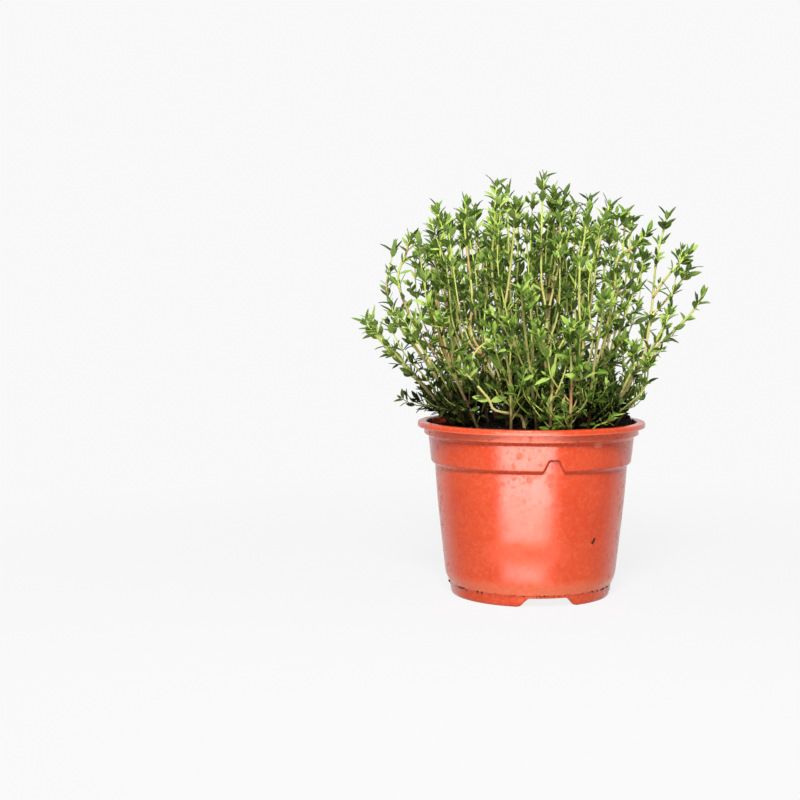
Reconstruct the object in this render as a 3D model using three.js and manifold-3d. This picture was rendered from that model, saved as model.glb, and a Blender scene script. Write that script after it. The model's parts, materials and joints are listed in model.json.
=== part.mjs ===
// Potted thyme: a moulded nursery pot, its soil, and leafy thyme stems that stand in holes in the soil.
// Millimetres, +Z up. The front is towards -Y and the origin is the centre of the pot's base.

import * as THREE from 'three';
import { mergeVertices } from 'three/addons/utils/BufferGeometryUtils.js';
import Module from 'manifold-3d';

const manifold = await Module();
manifold.setup();

// Pot sizes: its sides are [radius, height] up the outside, and then down the inside
const POT_SEGMENTS = 48;
const RIM_HEIGHT = 92;
const LIP_RADIUS = 60.3;
const WALL = 1.1;
const FLOOR_UNDERSIDE = 4.6;
const FLOOR_TOP = 5.8;
const SKIRT_INNER_RADIUS = 40.4;
const POT_OUTSIDE = [
  [42.0, 0], [43.0, 5.6], [45.3, 10.6], [49.8, 51.7], [51.05, 69.1], [53.1, 70.8], [54.5, 84.4],
  [56.8, 85.5], [56.9, 90.8], [59.0, 90.8], [59.1, 89.2], [LIP_RADIUS, 89.2], [60.2, 91.6],
  [59.8, RIM_HEIGHT],
];
const POT_INSIDE = [
  [42.0, FLOOR_TOP], [44.1, 10.8], [49.95, 69.4], [52.0, 71.2], [53.4, 84.8], [55.6, 86.0],
  [55.8, RIM_HEIGHT],
];
const DRAIN_HOLES = 6;
const DRAIN_RADIUS = 4.5;
const DRAIN_CIRCLE_RADIUS = 28;
const DRAIN_SIDES = 10;

// Three feet, and the same three turns for the recesses in the collar, from the first one near the front
const TURNS = 3;
const FIRST_TURN = -77 * Math.PI / 180;
const GAP_HALF_WIDTH_LOW = 15.3;
const GAP_HALF_WIDTH_HIGH = 9.7;
const RECESS_HALF_WIDTH_LOW = 5.8;
const RECESS_HALF_WIDTH_HIGH = 2.3;
const RECESS_BOTTOM = 69.0;
const RECESS_TOP = 76.2;
const RECESS_FLOOR = [[50.9, 67.0], [51.75, 79.0]];
const RECESS_REACH = 70;

// Soil: it follows the inside of the pot and is mounded in the middle, with a few lumps
const SOIL_SEGMENTS = 40;
const SOIL_CLEARANCE = 0.3;
const SOIL_EDGE_RADIUS = 55.2;
const SOIL_SIDES = [
  [41.8, 6.1], [43.6, 10.9], [49.5, 69.55], [51.55, 71.3], [52.85, 84.95], [55.05, 86.15],
];
const SOIL_EDGE_HEIGHT = 87.2;
const SOIL_MOUND = 4.6;
const SOIL_RINGS = [0.92, 0.74, 0.54, 0.3];
const SOIL_LUMPS = [
  { x: 44, y: 8, height: 8.5, spread: 9 },
  { x: 51, y: 4, height: 3.0, spread: 6 },
  { x: 24, y: -34, height: 2.2, spread: 10 },
  { x: -28, y: 24, height: 2.6, spread: 12 },
  { x: -8, y: -12, height: 2.0, spread: 14 },
  { x: 14, y: 33, height: 2.4, spread: 9 },
  { x: 50, y: -20, height: -1.4, spread: 8 },
];
const HOLE_CLEARANCE = 0.45;
const HOLE_EXTRA_DEPTH = 0.4;
const HOLE_REACH = 4;
const BURIED_DEPTH = 12;
const STRAIGHT_FOOT = 1.5;

// Shoots: the square stems taper, and the pairs of leaves cross each other in turn up the stem
const STEM_SIDES = 4;
const STEM_FOOT_RADIUS = 0.85;
const FORK_FOOT_RADIUS = 0.7;
const STEM_TIP_RADIUS = 0.5;
const LENGTH_STEPS = 200;
const RING_BEND = 0.09;
const RING_GAP = 32;
const FORK_ROOT_RADII = [0.5, 0.45, 0.4, 0.35, 0.3, 0.25, 0.55, 0.6];
const FIRST_PAIR = 10;
const FORK_FIRST_PAIR = 5;
const LONG_INTERNODE = 26;
const SHORT_INTERNODE = 7;
const INTERNODE_JITTER = 0.3;
const PAIR_TURN = Math.PI / 2;
const TURN_JITTER = 0.4;
const TIP_PAIR_BACK = 0.8;
const LEAF_LENGTH_LOW = 7;
const LEAF_LENGTH_MIDDLE = 9;
const LEAF_LENGTH_TIP = 7.2;
const LENGTH_JITTER = 0.3;
const LEAF_WIDTH_SHARE = 0.36;
const LEAF_WIDEST = 0.45;
const LEAF_THICKNESS = 0.8;
const LEAF_SPREAD_LOW = 1.15;
const LEAF_SPREAD_TIP = 0.65;
const SPREAD_JITTER = 0.35;
const LEAF_CLEARANCE = 1.1;
const RIM_CLEARANCE = 1.2;
const TURN_TRIES = [0, 0.2, -0.2, 0.45, -0.45, 0.9, -0.9];
const BLADE_START = 0.2;
const SIMPLIFY_TOLERANCE = 0.004;
const SHORTEST_EDGE = 0.01;
const MERGE_DISTANCE = 1e-4;
const NEARLY_PARALLEL = 1e-9;

// Stems that show from the front. Each path starts with its foot [x, y], then goes through [x, y, height]
// to its tip, and a fork leaves its stem at the path point with the number given in at.
const FRONT_STEMS = [
  {
    path: [[-6, -24], [-7, -24, 122], [-10, -26, 134], [-15, -28, 146], [-20, -31, 168], [-19, -35, 194],
      [-18, -37, 213]],
    forks: [
      { at: 3, path: [[-12, -23, 164], [-10, -20, 183], [-8, -19, 204]] },
      { at: 2, path: [[-16, -31, 136], [-22, -34, 135], [-28, -38, 130], [-31, -40, 123]] },
    ],
  },
  {
    path: [[0, -16], [2, -16, 110], [6, -18, 133], [8, -19, 147], [5, -21, 166], [5, -23, 184],
      [5, -25, 202], [6, -27, 218]],
    forks: [{ at: 3, path: [[14, -22, 174], [19, -25, 191], [22, -28, 203]] }],
  },
  {
    path: [[25, -18], [29, -18, 107], [34, -20, 119], [37, -22, 132], [42, -27, 162], [43, -30, 176],
      [51, -32, 183], [57, -34, 189]],
    forks: [{ at: 2, path: [[41, -26, 128], [46, -32, 135]] }],
  },
  {
    path: [[39, -6], [47, -5, 104], [54, -5, 118], [59, -5, 128], [62, -6, 147], [63, -6, 157],
      [65, -6, 179], [70, -5, 199]],
    forks: [
      { at: 4, path: [[71, -3, 157], [78, -2, 166], [82, -1, 172]] },
      { at: 5, path: [[69, -10, 167], [75, -13, 174], [80, -15, 180]] },
    ],
  },
  {
    path: [[42, 7], [50, 8, 106], [54, 9, 114], [62, 9, 126], [74, 10, 138], [84, 11, 148], [90, 12, 157]],
  },
  { path: [[38, 16], [46, 18, 104], [53, 22, 118], [59, 25, 131], [63, 27, 142]] },
  {
    path: [[43, -10], [50, -10, 99], [55, -9, 105], [59, -10, 112]],
    forks: [{ at: 1, path: [[54, -4, 102], [57, -1, 106]] }],
  },
  { path: [[6, 0], [8, 0, 112], [10, 1, 131], [9, 3, 145], [13, 4, 180], [17, 5, 211]] },
  {
    path: [[-12, -28], [-15, -28, 109], [-25, -30, 128], [-31, -32, 141], [-30, -34, 156], [-32, -36, 176],
      [-34, -38, 194], [-33, -39, 203]],
  },
  {
    path: [[-22, -14], [-26, -15, 108], [-36, -18, 138], [-40, -20, 157], [-42, -22, 177],
      [-48, -26, 200]],
  },
  { path: [[-32, -6], [-38, -7, 110], [-46, -8, 135], [-49, -8, 156], [-50, -9, 175], [-52, -10, 189]] },
  { path: [[-40, 4], [-48, 3, 108], [-62, 2, 140], [-71, 1, 166], [-67, 1, 180], [-65, 1, 188]] },
  { path: [[-42, -6], [-50, -8, 102], [-64, -10, 118], [-78, -11, 133], [-87, -12, 144]] },
  { path: [[-3, -33], [-5, -35, 97], [-13, -38, 99], [-19, -40, 101], [-22, -41, 107], [-35, -44, 122]] },
  { path: [[10, -45], [10, -46, 103], [11, -47, 117], [13, -48, 130], [18, -49, 139], [22, -49, 144]] },
  {
    path: [[16, -36], [19, -37, 103], [24, -38, 123], [26, -38, 133], [24, -39, 151], [24, -42, 174],
      [26, -44, 187], [27, -46, 198]],
  },
  { path: [[20, -43], [20, -46, 104], [20, -53, 120], [19, -60, 133], [19, -66, 143]] },
  { path: [[20, -4], [23, -3, 110], [29, -3, 140], [33, -4, 169], [35, -4, 184], [40, -5, 205]] },
  { path: [[32, -10], [35, -11, 108], [41, -12, 140], [45, -13, 165], [47, -14, 185], [48, -14, 200]] },
  { path: [[-10, -42], [-10, -44, 108], [-12, -50, 126], [-15, -56, 135], [-20, -63, 142]] },
  { path: [[35, -27], [40, -29, 100], [46, -32, 110], [51, -37, 123], [51, -42, 133]] },
  { path: [[30, -39], [33, -40, 93], [38, -41, 95], [41, -41, 98]] },
  { path: [[3, -38], [1, -42, 108], [-2, -53, 132], [-4, -65, 149], [-5, -74, 161]] },
  { path: [[29, -33], [30, -39, 108], [32, -49, 130], [34, -60, 146], [35, -70, 157]] },
  { path: [[-27, -28], [-34, -31, 106], [-43, -41, 128], [-47, -53, 144], [-50, -60, 153]] },
  { path: [[-34, -20], [-42, -24, 106], [-55, -32, 126], [-66, -40, 142], [-71, -44, 154]] },
  { path: [[-40, -14], [-49, -17, 103], [-63, -22, 120], [-75, -25, 134], [-82, -27, 146]] },
  { path: [[37, -19], [46, -23, 106], [56, -29, 124], [64, -34, 138], [69, -37, 149]] },
];

// Stems of the back, in rows: each fans out from its foot to a tip on the dome of the whole bush
const BACK_ROWS = [
  { y: 12, tipY: 24, count: 6 },
  { y: 24, tipY: 49, count: 6 },
  { y: 36, tipY: 71, count: 5 },
];
const BACK_SPACING = 12;
const BACK_FAN = 1.75;
const FOOT_JITTER = 2.4;
const TIP_JITTER = 9;
const DOME_RADIUS = 98;
const DOME_HEIGHT = 124;
const DOME_POWER = 4;
const DOME_DROP = 14;
const FAN_STEPS = [0.15, 0.4, 0.7, 1];
const FAN_BEND = 1.7;

// Seeds
const BACK_SEED = 11;
const SHOOT_SEED = 101;

// Colours, roughness and metalness
const POT_MATERIAL = new THREE.MeshStandardMaterial({ color: 0xdb553a, roughness: 0.38, metalness: 0 });
const SOIL_MATERIAL = new THREE.MeshStandardMaterial({ color: 0x1c1512, roughness: 1, metalness: 0 });
const THYME_MATERIAL = new THREE.MeshStandardMaterial({ color: 0x648c38, roughness: 0.6, metalness: 0 });

// Random numbers from 0 to 1, the same on every run
function seededRandom(seed) {
  let state = (seed * 2654435761) % 4294967296;
  const next = () => {
    state = (Math.imul(state, 1664525) + 1013904223) >>> 0;
    return state / 4294967296;
  };
  next();
  next();
  return next;
}

const jitter = (random, size) => (random() - 0.5) * size;

// Turns a closed geometry into a solid: equal corners are merged and faces with no area are dropped
function toSolid(geometry) {
  const bare = geometry.index ? geometry.toNonIndexed() : geometry.clone();
  bare.deleteAttribute('normal');
  bare.deleteAttribute('uv');
  const merged = mergeVertices(bare, MERGE_DISTANCE);
  const index = merged.index.array;
  const faces = [];
  for (let i = 0; i < index.length; i += 3) {
    const [a, b, c] = index.slice(i, i + 3);
    if (a !== b && b !== c && c !== a) {
      faces.push(a, b, c);
    }
  }
  return new manifold.Manifold(new manifold.Mesh({
    numProp: 3,
    vertProperties: new Float32Array(merged.attributes.position.array),
    triVerts: new Uint32Array(faces),
  }));
}

function toGeometry(solid) {
  const mesh = solid.getMesh();
  const geometry = new THREE.BufferGeometry();
  geometry.setAttribute('position', new THREE.BufferAttribute(mesh.vertProperties, 3));
  geometry.setIndex(new THREE.BufferAttribute(mesh.triVerts, 1));
  return geometry;
}

// A solid turned round +Z from a profile of [radius, height] points that runs up the outside of the solid
function turned(profile) {
  const points = profile.map(([radius, height]) => new THREE.Vector2(radius, height));
  return toSolid(new THREE.LatheGeometry(points, POT_SEGMENTS).rotateX(Math.PI / 2));
}

// A flat outline of [across, height] points that is pushed out from the axis, at a turn round +Z
function radialBlock(outline, from, to, turn) {
  const shape = new THREE.Shape(outline.map(([across, height]) => new THREE.Vector2(across, height)));
  const geometry = new THREE.ExtrudeGeometry(shape, { depth: to - from, bevelEnabled: false, steps: 1 });
  geometry.rotateX(Math.PI / 2).translate(0, -from, 0).rotateZ(turn + Math.PI / 2);
  return toSolid(geometry);
}

const turns = () => Array.from({ length: TURNS }, (_, i) => FIRST_TURN + i * 2 * Math.PI / TURNS);

// Sets three recesses in the collar into a solid that lies inset from the outside of the pot
function recessed(solid, inset) {
  const low = RECESS_HALF_WIDTH_LOW + inset;
  const high = RECESS_HALF_WIDTH_HIGH + inset;
  const bottom = RECESS_BOTTOM - inset;
  const top = RECESS_TOP + inset;
  const outline = [[-low, bottom], [low, bottom], [high, top], [-high, top]];
  const floor = RECESS_FLOOR.map(([radius, height]) => [radius - inset, height]);
  const body = turned([[0, floor[0][1]], ...floor, [0, floor[1][1]]]);
  for (const turn of turns()) {
    solid = solid.subtract(radialBlock(outline, floor[0][0] / 2, RECESS_REACH, turn).subtract(body));
  }
  return solid;
}

function makePot() {
  const outside = recessed(turned([[0, 0], ...POT_OUTSIDE, [0, RIM_HEIGHT]]), 0);
  const mouth = POT_INSIDE[POT_INSIDE.length - 1][0];
  const filling = [[0, FLOOR_TOP], ...POT_INSIDE, [mouth, RIM_HEIGHT + 1], [0, RIM_HEIGHT + 1]];
  const inside = recessed(turned(filling), WALL);
  const underside = turned([[0, -1], [SKIRT_INNER_RADIUS, -1], [SKIRT_INNER_RADIUS, FLOOR_UNDERSIDE],
    [0, FLOOR_UNDERSIDE]]);
  let pot = outside.subtract(inside).subtract(underside);
  const slope = (GAP_HALF_WIDTH_LOW - GAP_HALF_WIDTH_HIGH) / FLOOR_UNDERSIDE;
  const low = GAP_HALF_WIDTH_LOW + slope;
  const high = GAP_HALF_WIDTH_HIGH;
  const gap = [[-low, -1], [low, -1], [high, FLOOR_UNDERSIDE], [-high, FLOOR_UNDERSIDE]];
  for (const turn of turns()) {
    pot = pot.subtract(radialBlock(gap, SKIRT_INNER_RADIUS / 2, RECESS_REACH, turn));
  }
  for (let i = 0; i < DRAIN_HOLES; i++) {
    const turn = i * 2 * Math.PI / DRAIN_HOLES;
    const hole = new THREE.CylinderGeometry(DRAIN_RADIUS, DRAIN_RADIUS, 2 * FLOOR_TOP, DRAIN_SIDES);
    hole.rotateX(Math.PI / 2);
    hole.translate(DRAIN_CIRCLE_RADIUS * Math.cos(turn), DRAIN_CIRCLE_RADIUS * Math.sin(turn), FLOOR_TOP);
    pot = pot.subtract(toSolid(hole));
  }
  return toGeometry(pot);
}

function soilHeight(x, y) {
  const share = Math.hypot(x, y) / SOIL_EDGE_RADIUS;
  let height = SOIL_EDGE_HEIGHT + SOIL_MOUND * (1 - share * share);
  for (const lump of SOIL_LUMPS) {
    const away = ((x - lump.x) ** 2 + (y - lump.y) ** 2) / lump.spread ** 2;
    height += lump.height * Math.exp(-away);
  }
  return height;
}

// The soil before its holes: rings of corners from the middle of its floor, up its sides and over its top
function soilBody() {
  const rings = SOIL_SIDES.map(([radius, height]) => ({ radius, height }));
  rings.push({ radius: SOIL_EDGE_RADIUS });
  rings.push(...SOIL_RINGS.map((share) => ({ radius: share * SOIL_EDGE_RADIUS })));
  const corners = [0, 0, SOIL_SIDES[0][1]];
  for (const ring of rings) {
    for (let i = 0; i < SOIL_SEGMENTS; i++) {
      const turn = i * 2 * Math.PI / SOIL_SEGMENTS;
      const x = ring.radius * Math.cos(turn);
      const y = ring.radius * Math.sin(turn);
      corners.push(x, y, ring.height ?? soilHeight(x, y));
    }
  }
  corners.push(0, 0, soilHeight(0, 0));
  const last = corners.length / 3 - 1;
  const faces = [];
  for (let i = 0; i < SOIL_SEGMENTS; i++) {
    const next = (i + 1) % SOIL_SEGMENTS;
    faces.push(0, 1 + next, 1 + i);
    for (let ring = 0; ring < rings.length - 1; ring++) {
      const low = 1 + ring * SOIL_SEGMENTS;
      const high = low + SOIL_SEGMENTS;
      faces.push(low + i, low + next, high + next, low + i, high + next, high + i);
    }
    const top = 1 + (rings.length - 1) * SOIL_SEGMENTS;
    faces.push(top + i, top + next, last);
  }
  const geometry = new THREE.BufferGeometry();
  geometry.setAttribute('position', new THREE.Float32BufferAttribute(corners, 3));
  geometry.setIndex(faces);
  return toSolid(geometry);
}

// A plain square hole for each stem, from above the soil to just below the stem's buried end
function makeSoil(stems) {
  let soil = recessed(soilBody(), WALL + SOIL_CLEARANCE);
  const holes = stems.map(({ foot, twist }) => {
    const ground = soilHeight(foot.x, foot.y);
    const bottom = ground - BURIED_DEPTH - HOLE_EXTRA_DEPTH;
    const top = ground + HOLE_REACH;
    const radius = STEM_FOOT_RADIUS + HOLE_CLEARANCE * Math.SQRT2;
    const hole = new THREE.CylinderGeometry(radius, radius, top - bottom, STEM_SIDES);
    hole.rotateX(Math.PI / 2).rotateZ(twist + Math.PI / STEM_SIDES);
    hole.translate(foot.x, foot.y, (top + bottom) / 2);
    return toSolid(hole);
  });
  soil = soil.subtract(manifold.Manifold.union(holes));
  return toGeometry(soil);
}

// Paths of the back stems, worked out from their rows
function backStems() {
  const random = seededRandom(BACK_SEED);
  const stems = [];
  for (const row of BACK_ROWS) {
    for (let i = 0; i < row.count; i++) {
      const x = (i - (row.count - 1) / 2) * BACK_SPACING + jitter(random, FOOT_JITTER);
      const y = row.y + jitter(random, FOOT_JITTER);
      const tipX = x * BACK_FAN + jitter(random, TIP_JITTER);
      const tipY = row.tipY + jitter(random, TIP_JITTER);
      const reach = Math.hypot(tipX, tipY) / DOME_RADIUS;
      const ground = soilHeight(x, y);
      const tipZ = ground + DOME_HEIGHT * Math.sqrt(1 - reach ** DOME_POWER) - random() * DOME_DROP;
      const path = FAN_STEPS.map((step) => {
        const out = 1 - (1 - step) ** FAN_BEND;
        return [x + (tipX - x) * out, y + (tipY - y) * out, ground + (tipZ - ground) * step];
      });
      stems.push({ path: [[x, y], ...path] });
    }
  }
  return stems;
}

// A smooth curve through a shoot's points, with the lengths that its leaves are placed by
function shootCurve(points) {
  const curve = new THREE.CatmullRomCurve3(points, false, 'catmullrom', 0.5);
  curve.arcLengthDivisions = LENGTH_STEPS;
  return curve;
}

// Distances up a shoot at which its pairs of leaves grow, closer together towards the tip
function pairDistances(length, first, random) {
  const distances = [];
  let distance = first;
  while (distance < length - SHORT_INTERNODE / 2) {
    distances.push(distance);
    const share = distance / length;
    const internode = LONG_INTERNODE + (SHORT_INTERNODE - LONG_INTERNODE) * share;
    distance += internode * (1 + jitter(random, INTERNODE_JITTER));
  }
  distances.push(length);
  return distances;
}

// Leaf length up the shoot: short at its foot, longest in the middle, short at the tip
function leafLength(share) {
  if (share < 0.5) {
    return THREE.MathUtils.lerp(LEAF_LENGTH_LOW, LEAF_LENGTH_MIDDLE, share / 0.5);
  }
  return THREE.MathUtils.lerp(LEAF_LENGTH_MIDDLE, LEAF_LENGTH_TIP, (share - 0.5) / 0.5);
}

// Rings of a stem lie between its pairs of leaves, fewer where it is nearly straight
function ringDistances(curve, pairs) {
  const length = curve.getLength();
  const between = pairs.slice(1).map((distance, i) => (pairs[i] + distance) / 2);
  const kept = [0];
  for (const distance of between) {
    const last = kept[kept.length - 1];
    const bend = curve.getTangentAt(last / length).angleTo(curve.getTangentAt(distance / length));
    if (bend > RING_BEND || distance - last > RING_GAP) {
      kept.push(distance);
    }
  }
  kept.push(length);
  return kept;
}

// Where a distance up the stem lies on the straight pieces between its rings
function pointOnRings(rings, distance) {
  const next = Math.max(1, rings.findIndex((ring) => ring.distance >= distance));
  const { distance: low, point } = rings[next - 1];
  const { distance: high, point: end } = rings[next];
  return point.clone().lerp(end, (distance - low) / (high - low));
}

// A shoot: the rings of its stem and its leaves. Every leaf takes the same number of random draws.
function growShoot(points, footRadius, first, seed, forksAt = []) {
  const random = seededRandom(seed);
  const curve = shootCurve(points);
  const length = curve.getLength();
  const lengths = curve.getLengths();
  const forks = forksAt.map((at) => lengths[Math.round(at / (points.length - 1) * LENGTH_STEPS)]);
  const pairs = pairDistances(length, first, random);
  const ringsAt = ringDistances(curve, pairs);
  const twist = random() * Math.PI;
  const side = new THREE.Vector3(Math.cos(twist), Math.sin(twist), 0);
  const frames = new Map();
  for (const distance of [...new Set([...ringsAt, ...pairs])].sort((one, other) => one - other)) {
    const along = curve.getTangentAt(distance / length);
    side.addScaledVector(along, -side.dot(along)).normalize();
    frames.set(distance, { along, side: side.clone() });
  }
  const rings = ringsAt.map((distance) => ({
    ...frames.get(distance),
    distance,
    point: curve.getPointAt(distance / length),
    radius: THREE.MathUtils.lerp(footRadius, STEM_TIP_RADIUS, distance / length),
  }));
  const leaves = [];
  pairs.forEach((distance, number) => {
    const share = distance / length;
    const root = pointOnRings(rings, Math.min(distance, length - TIP_PAIR_BACK));
    const spread = THREE.MathUtils.lerp(LEAF_SPREAD_LOW, LEAF_SPREAD_TIP, share ** 2);
    const pairTurn = number * PAIR_TURN + jitter(random, TURN_JITTER);
    for (const opposite of [0, Math.PI]) {
      leaves.push({
        ...frames.get(distance),
        root,
        turn: pairTurn + opposite + jitter(random, TURN_JITTER),
        spread: spread + jitter(random, SPREAD_JITTER),
        length: leafLength(share) * (1 + jitter(random, LENGTH_JITTER)),
      });
    }
  });
  return { rings, leaves, twist, forkRoots: forks.map((distance) => pointOnRings(rings, distance)) };
}

// A closed square tube through the rings of a stem
function stemSolid(rings) {
  const corners = [];
  for (const { point, side, along, radius } of rings) {
    const across = new THREE.Vector3().crossVectors(along, side);
    for (let i = 0; i < STEM_SIDES; i++) {
      const turn = (i + 0.5) * 2 * Math.PI / STEM_SIDES;
      const corner = point.clone();
      corner.addScaledVector(side, radius * Math.cos(turn));
      corner.addScaledVector(across, radius * Math.sin(turn));
      corners.push(...corner.toArray());
    }
  }
  const faces = [0, 2, 1, 0, 3, 2];
  for (let ring = 0; ring < rings.length - 1; ring++) {
    const low = ring * STEM_SIDES;
    for (let i = 0; i < STEM_SIDES; i++) {
      const next = (i + 1) % STEM_SIDES;
      faces.push(low + i, low + next, low + STEM_SIDES + next);
      faces.push(low + i, low + STEM_SIDES + next, low + STEM_SIDES + i);
    }
  }
  const top = (rings.length - 1) * STEM_SIDES;
  faces.push(top, top + 1, top + 2, top, top + 2, top + 3);
  const geometry = new THREE.BufferGeometry();
  geometry.setAttribute('position', new THREE.Float32BufferAttribute(corners, 3));
  geometry.setIndex(faces);
  return toSolid(geometry);
}

// Where a leaf points, which way its upper face looks, and the line from its root to its tip
function leafAxes(leaf, extraTurn) {
  const across = new THREE.Vector3().crossVectors(leaf.along, leaf.side);
  const out = leaf.side.clone().multiplyScalar(Math.cos(leaf.turn + extraTurn));
  out.addScaledVector(across, Math.sin(leaf.turn + extraTurn));
  const direction = out.clone().multiplyScalar(Math.sin(leaf.spread));
  direction.addScaledVector(leaf.along, Math.cos(leaf.spread));
  const face = out.multiplyScalar(-Math.cos(leaf.spread));
  face.addScaledVector(leaf.along, Math.sin(leaf.spread));
  const tip = leaf.root.clone().addScaledVector(direction, leaf.length);
  return { direction, face, tip };
}

// A closed blade with a flat upper face and a keel below, from a point inside the stem to a pointed tip
function leafSolid(leaf, { direction, face, tip }) {
  const across = new THREE.Vector3().crossVectors(direction, face);
  const halfWidth = leaf.length * LEAF_WIDTH_SHARE / 2;
  const middle = leaf.root.clone().addScaledVector(direction, leaf.length * LEAF_WIDEST);
  const corners = [
    ...leaf.root.toArray(),
    ...middle.clone().addScaledVector(across, -halfWidth).toArray(),
    ...middle.clone().addScaledVector(across, halfWidth).toArray(),
    ...middle.clone().addScaledVector(face, -LEAF_THICKNESS).toArray(),
    ...tip.clone().addScaledVector(face, -LEAF_THICKNESS / 2).toArray(),
  ];
  const geometry = new THREE.BufferGeometry();
  geometry.setAttribute('position', new THREE.Float32BufferAttribute(corners, 3));
  geometry.setIndex([0, 2, 1, 0, 1, 3, 0, 3, 2, 1, 2, 4, 2, 3, 4, 3, 1, 4]);
  return toSolid(geometry);
}

// Shortest distance between two straight pieces, each from a start to an end
function distanceBetween(one, other) {
  const first = one.end.clone().sub(one.start);
  const second = other.end.clone().sub(other.start);
  const offset = one.start.clone().sub(other.start);
  const a = first.dot(first);
  const b = first.dot(second);
  const c = second.dot(second);
  const d = first.dot(offset);
  const e = second.dot(offset);
  const slant = a * c - b * b;
  let s = slant > NEARLY_PARALLEL ? THREE.MathUtils.clamp((b * e - c * d) / slant, 0, 1) : 0;
  const t = THREE.MathUtils.clamp((b * s + e) / c, 0, 1);
  s = THREE.MathUtils.clamp((b * t - d) / a, 0, 1);
  const gap = offset.addScaledVector(first, s).addScaledVector(second, -t);
  return gap.length();
}

// What already stands in the way: the stems and leaves of the other nodes, as straight pieces
function isClear(piece, owner, taken) {
  return taken.every((other) => other.owner === owner
    || distanceBetween(piece, other) > piece.radius + other.radius + LEAF_CLEARANCE);
}

// Leaves keep above the soil and the rim
function isAboveGround(point) {
  const radius = Math.hypot(point.x, point.y);
  if (radius < SOIL_EDGE_RADIUS - RIM_CLEARANCE) {
    return point.z > soilHeight(point.x, point.y) + RIM_CLEARANCE;
  }
  return radius > LIP_RADIUS + RIM_CLEARANCE || point.z > RIM_HEIGHT + RIM_CLEARANCE;
}

// All the shoots of a stem: the stem itself, whose end is buried straight, and its forks
function growStem(stem, number) {
  const [footX, footY] = stem.path[0];
  const ground = soilHeight(footX, footY);
  const foot = new THREE.Vector3(footX, footY, ground);
  const points = [foot, ...stem.path.slice(1).map((point) => new THREE.Vector3(...point))];
  const forks = stem.forks ?? [];
  const forksAt = forks.map((fork) => fork.at);
  const main = growShoot(points, STEM_FOOT_RADIUS, FIRST_PAIR, SHOOT_SEED + 10 * number, forksAt);
  const upright = {
    side: new THREE.Vector3(Math.cos(main.twist), Math.sin(main.twist), 0),
    along: new THREE.Vector3(0, 0, 1),
    radius: STEM_FOOT_RADIUS,
  };
  const buried = { ...upright, point: foot.clone().setZ(ground - BURIED_DEPTH) };
  const surface = { ...upright, point: foot.clone().setZ(ground + STRAIGHT_FOOT) };
  main.rings.splice(0, 1, buried, surface);
  const branches = forks.map((fork, i) => {
    const path = [main.forkRoots[i], ...fork.path.map((point) => new THREE.Vector3(...point))];
    return growShoot(path, FORK_FOOT_RADIUS, FORK_FIRST_PAIR, SHOOT_SEED + 10 * number + i + 1);
  });
  return { number, foot, twist: main.twist, shoots: [main, ...branches] };
}

function stemPieces(grown) {
  const pieces = [];
  for (const { rings } of grown.shoots) {
    rings.slice(1).forEach(({ point, radius }, i) => {
      pieces.push({ owner: grown.number, start: rings[i].point, end: point, radius });
    });
  }
  return pieces;
}

// The shortest edge of a solid
function shortestEdge(solid) {
  const { vertProperties, triVerts } = solid.getMesh();
  const corner = (i) => new THREE.Vector3().fromArray(vertProperties, 3 * triVerts[i]);
  let shortest = Infinity;
  for (let i = 0; i < triVerts.length; i++) {
    const next = i % 3 === 2 ? i - 2 : i + 1;
    shortest = Math.min(shortest, corner(i).distanceTo(corner(next)));
  }
  return shortest;
}

// A stem joined with a piece, or null where the piece isn't held to it or the join leaves a sliver
function joinCleanly(stem, piece) {
  const joined = stem.add(piece).simplify(SIMPLIFY_TOLERANCE);
  const isClean = shortestEdge(joined) > SHORTEST_EDGE && joined.decompose().length === 1;
  return isClean ? joined : null;
}

// Joins a fork to its stem, with the first thickness of its root that makes a clean join
function joinFork(stem, { rings }) {
  for (const radius of FORK_ROOT_RADII) {
    const joined = joinCleanly(stem, stemSolid([{ ...rings[0], radius }, ...rings.slice(1)]));
    if (joined) {
      return joined;
    }
  }
  throw new Error('a fork has no clean join');
}

// Joins a leaf to its stem, at the first turn that keeps it clear of every other node and makes a clean join
function joinLeaf(stem, leaf, owner, taken) {
  for (const extraTurn of TURN_TRIES) {
    const axes = leafAxes(leaf, extraTurn);
    const start = leaf.root.clone().lerp(axes.tip, BLADE_START);
    const piece = { owner, start, end: axes.tip, radius: leaf.length * LEAF_WIDTH_SHARE / 2 };
    if (isAboveGround(axes.tip) && isAboveGround(start) && isClear(piece, owner, taken)) {
      const joined = joinCleanly(stem, leafSolid(leaf, axes));
      if (joined) {
        taken.push(piece);
        return joined;
      }
    }
  }
  return stem;
}

// Joins a stem with its forks, and then with the leaves of all its shoots
function makeLeafyStem({ number, shoots }, taken) {
  let stem = shoots.slice(1).reduce(joinFork, stemSolid(shoots[0].rings));
  for (const leaf of shoots.flatMap((shoot) => shoot.leaves)) {
    stem = joinLeaf(stem, leaf, number, taken);
  }
  return toGeometry(stem);
}

function namedMesh(name, geometry, material) {
  const mesh = new THREE.Mesh(geometry, material);
  mesh.name = name;
  return mesh;
}

function makePottedThyme() {
  const group = new THREE.Group();
  const stems = [...FRONT_STEMS, ...backStems()].map((stem, i) => growStem(stem, i + 1));
  group.add(namedMesh('pot', makePot(), POT_MATERIAL));
  group.add(namedMesh('soil', makeSoil(stems), SOIL_MATERIAL));
  const taken = stems.flatMap(stemPieces);
  for (const grown of stems) {
    const name = `thyme_stem_${String(grown.number).padStart(2, '0')}`;
    group.add(namedMesh(name, makeLeafyStem(grown, taken), THYME_MATERIAL));
  }
  return group;
}

export default makePottedThyme();
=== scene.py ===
import json
import math
import random

import bmesh
import bpy
import numpy as np
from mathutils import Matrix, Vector, geometry, noise

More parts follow.
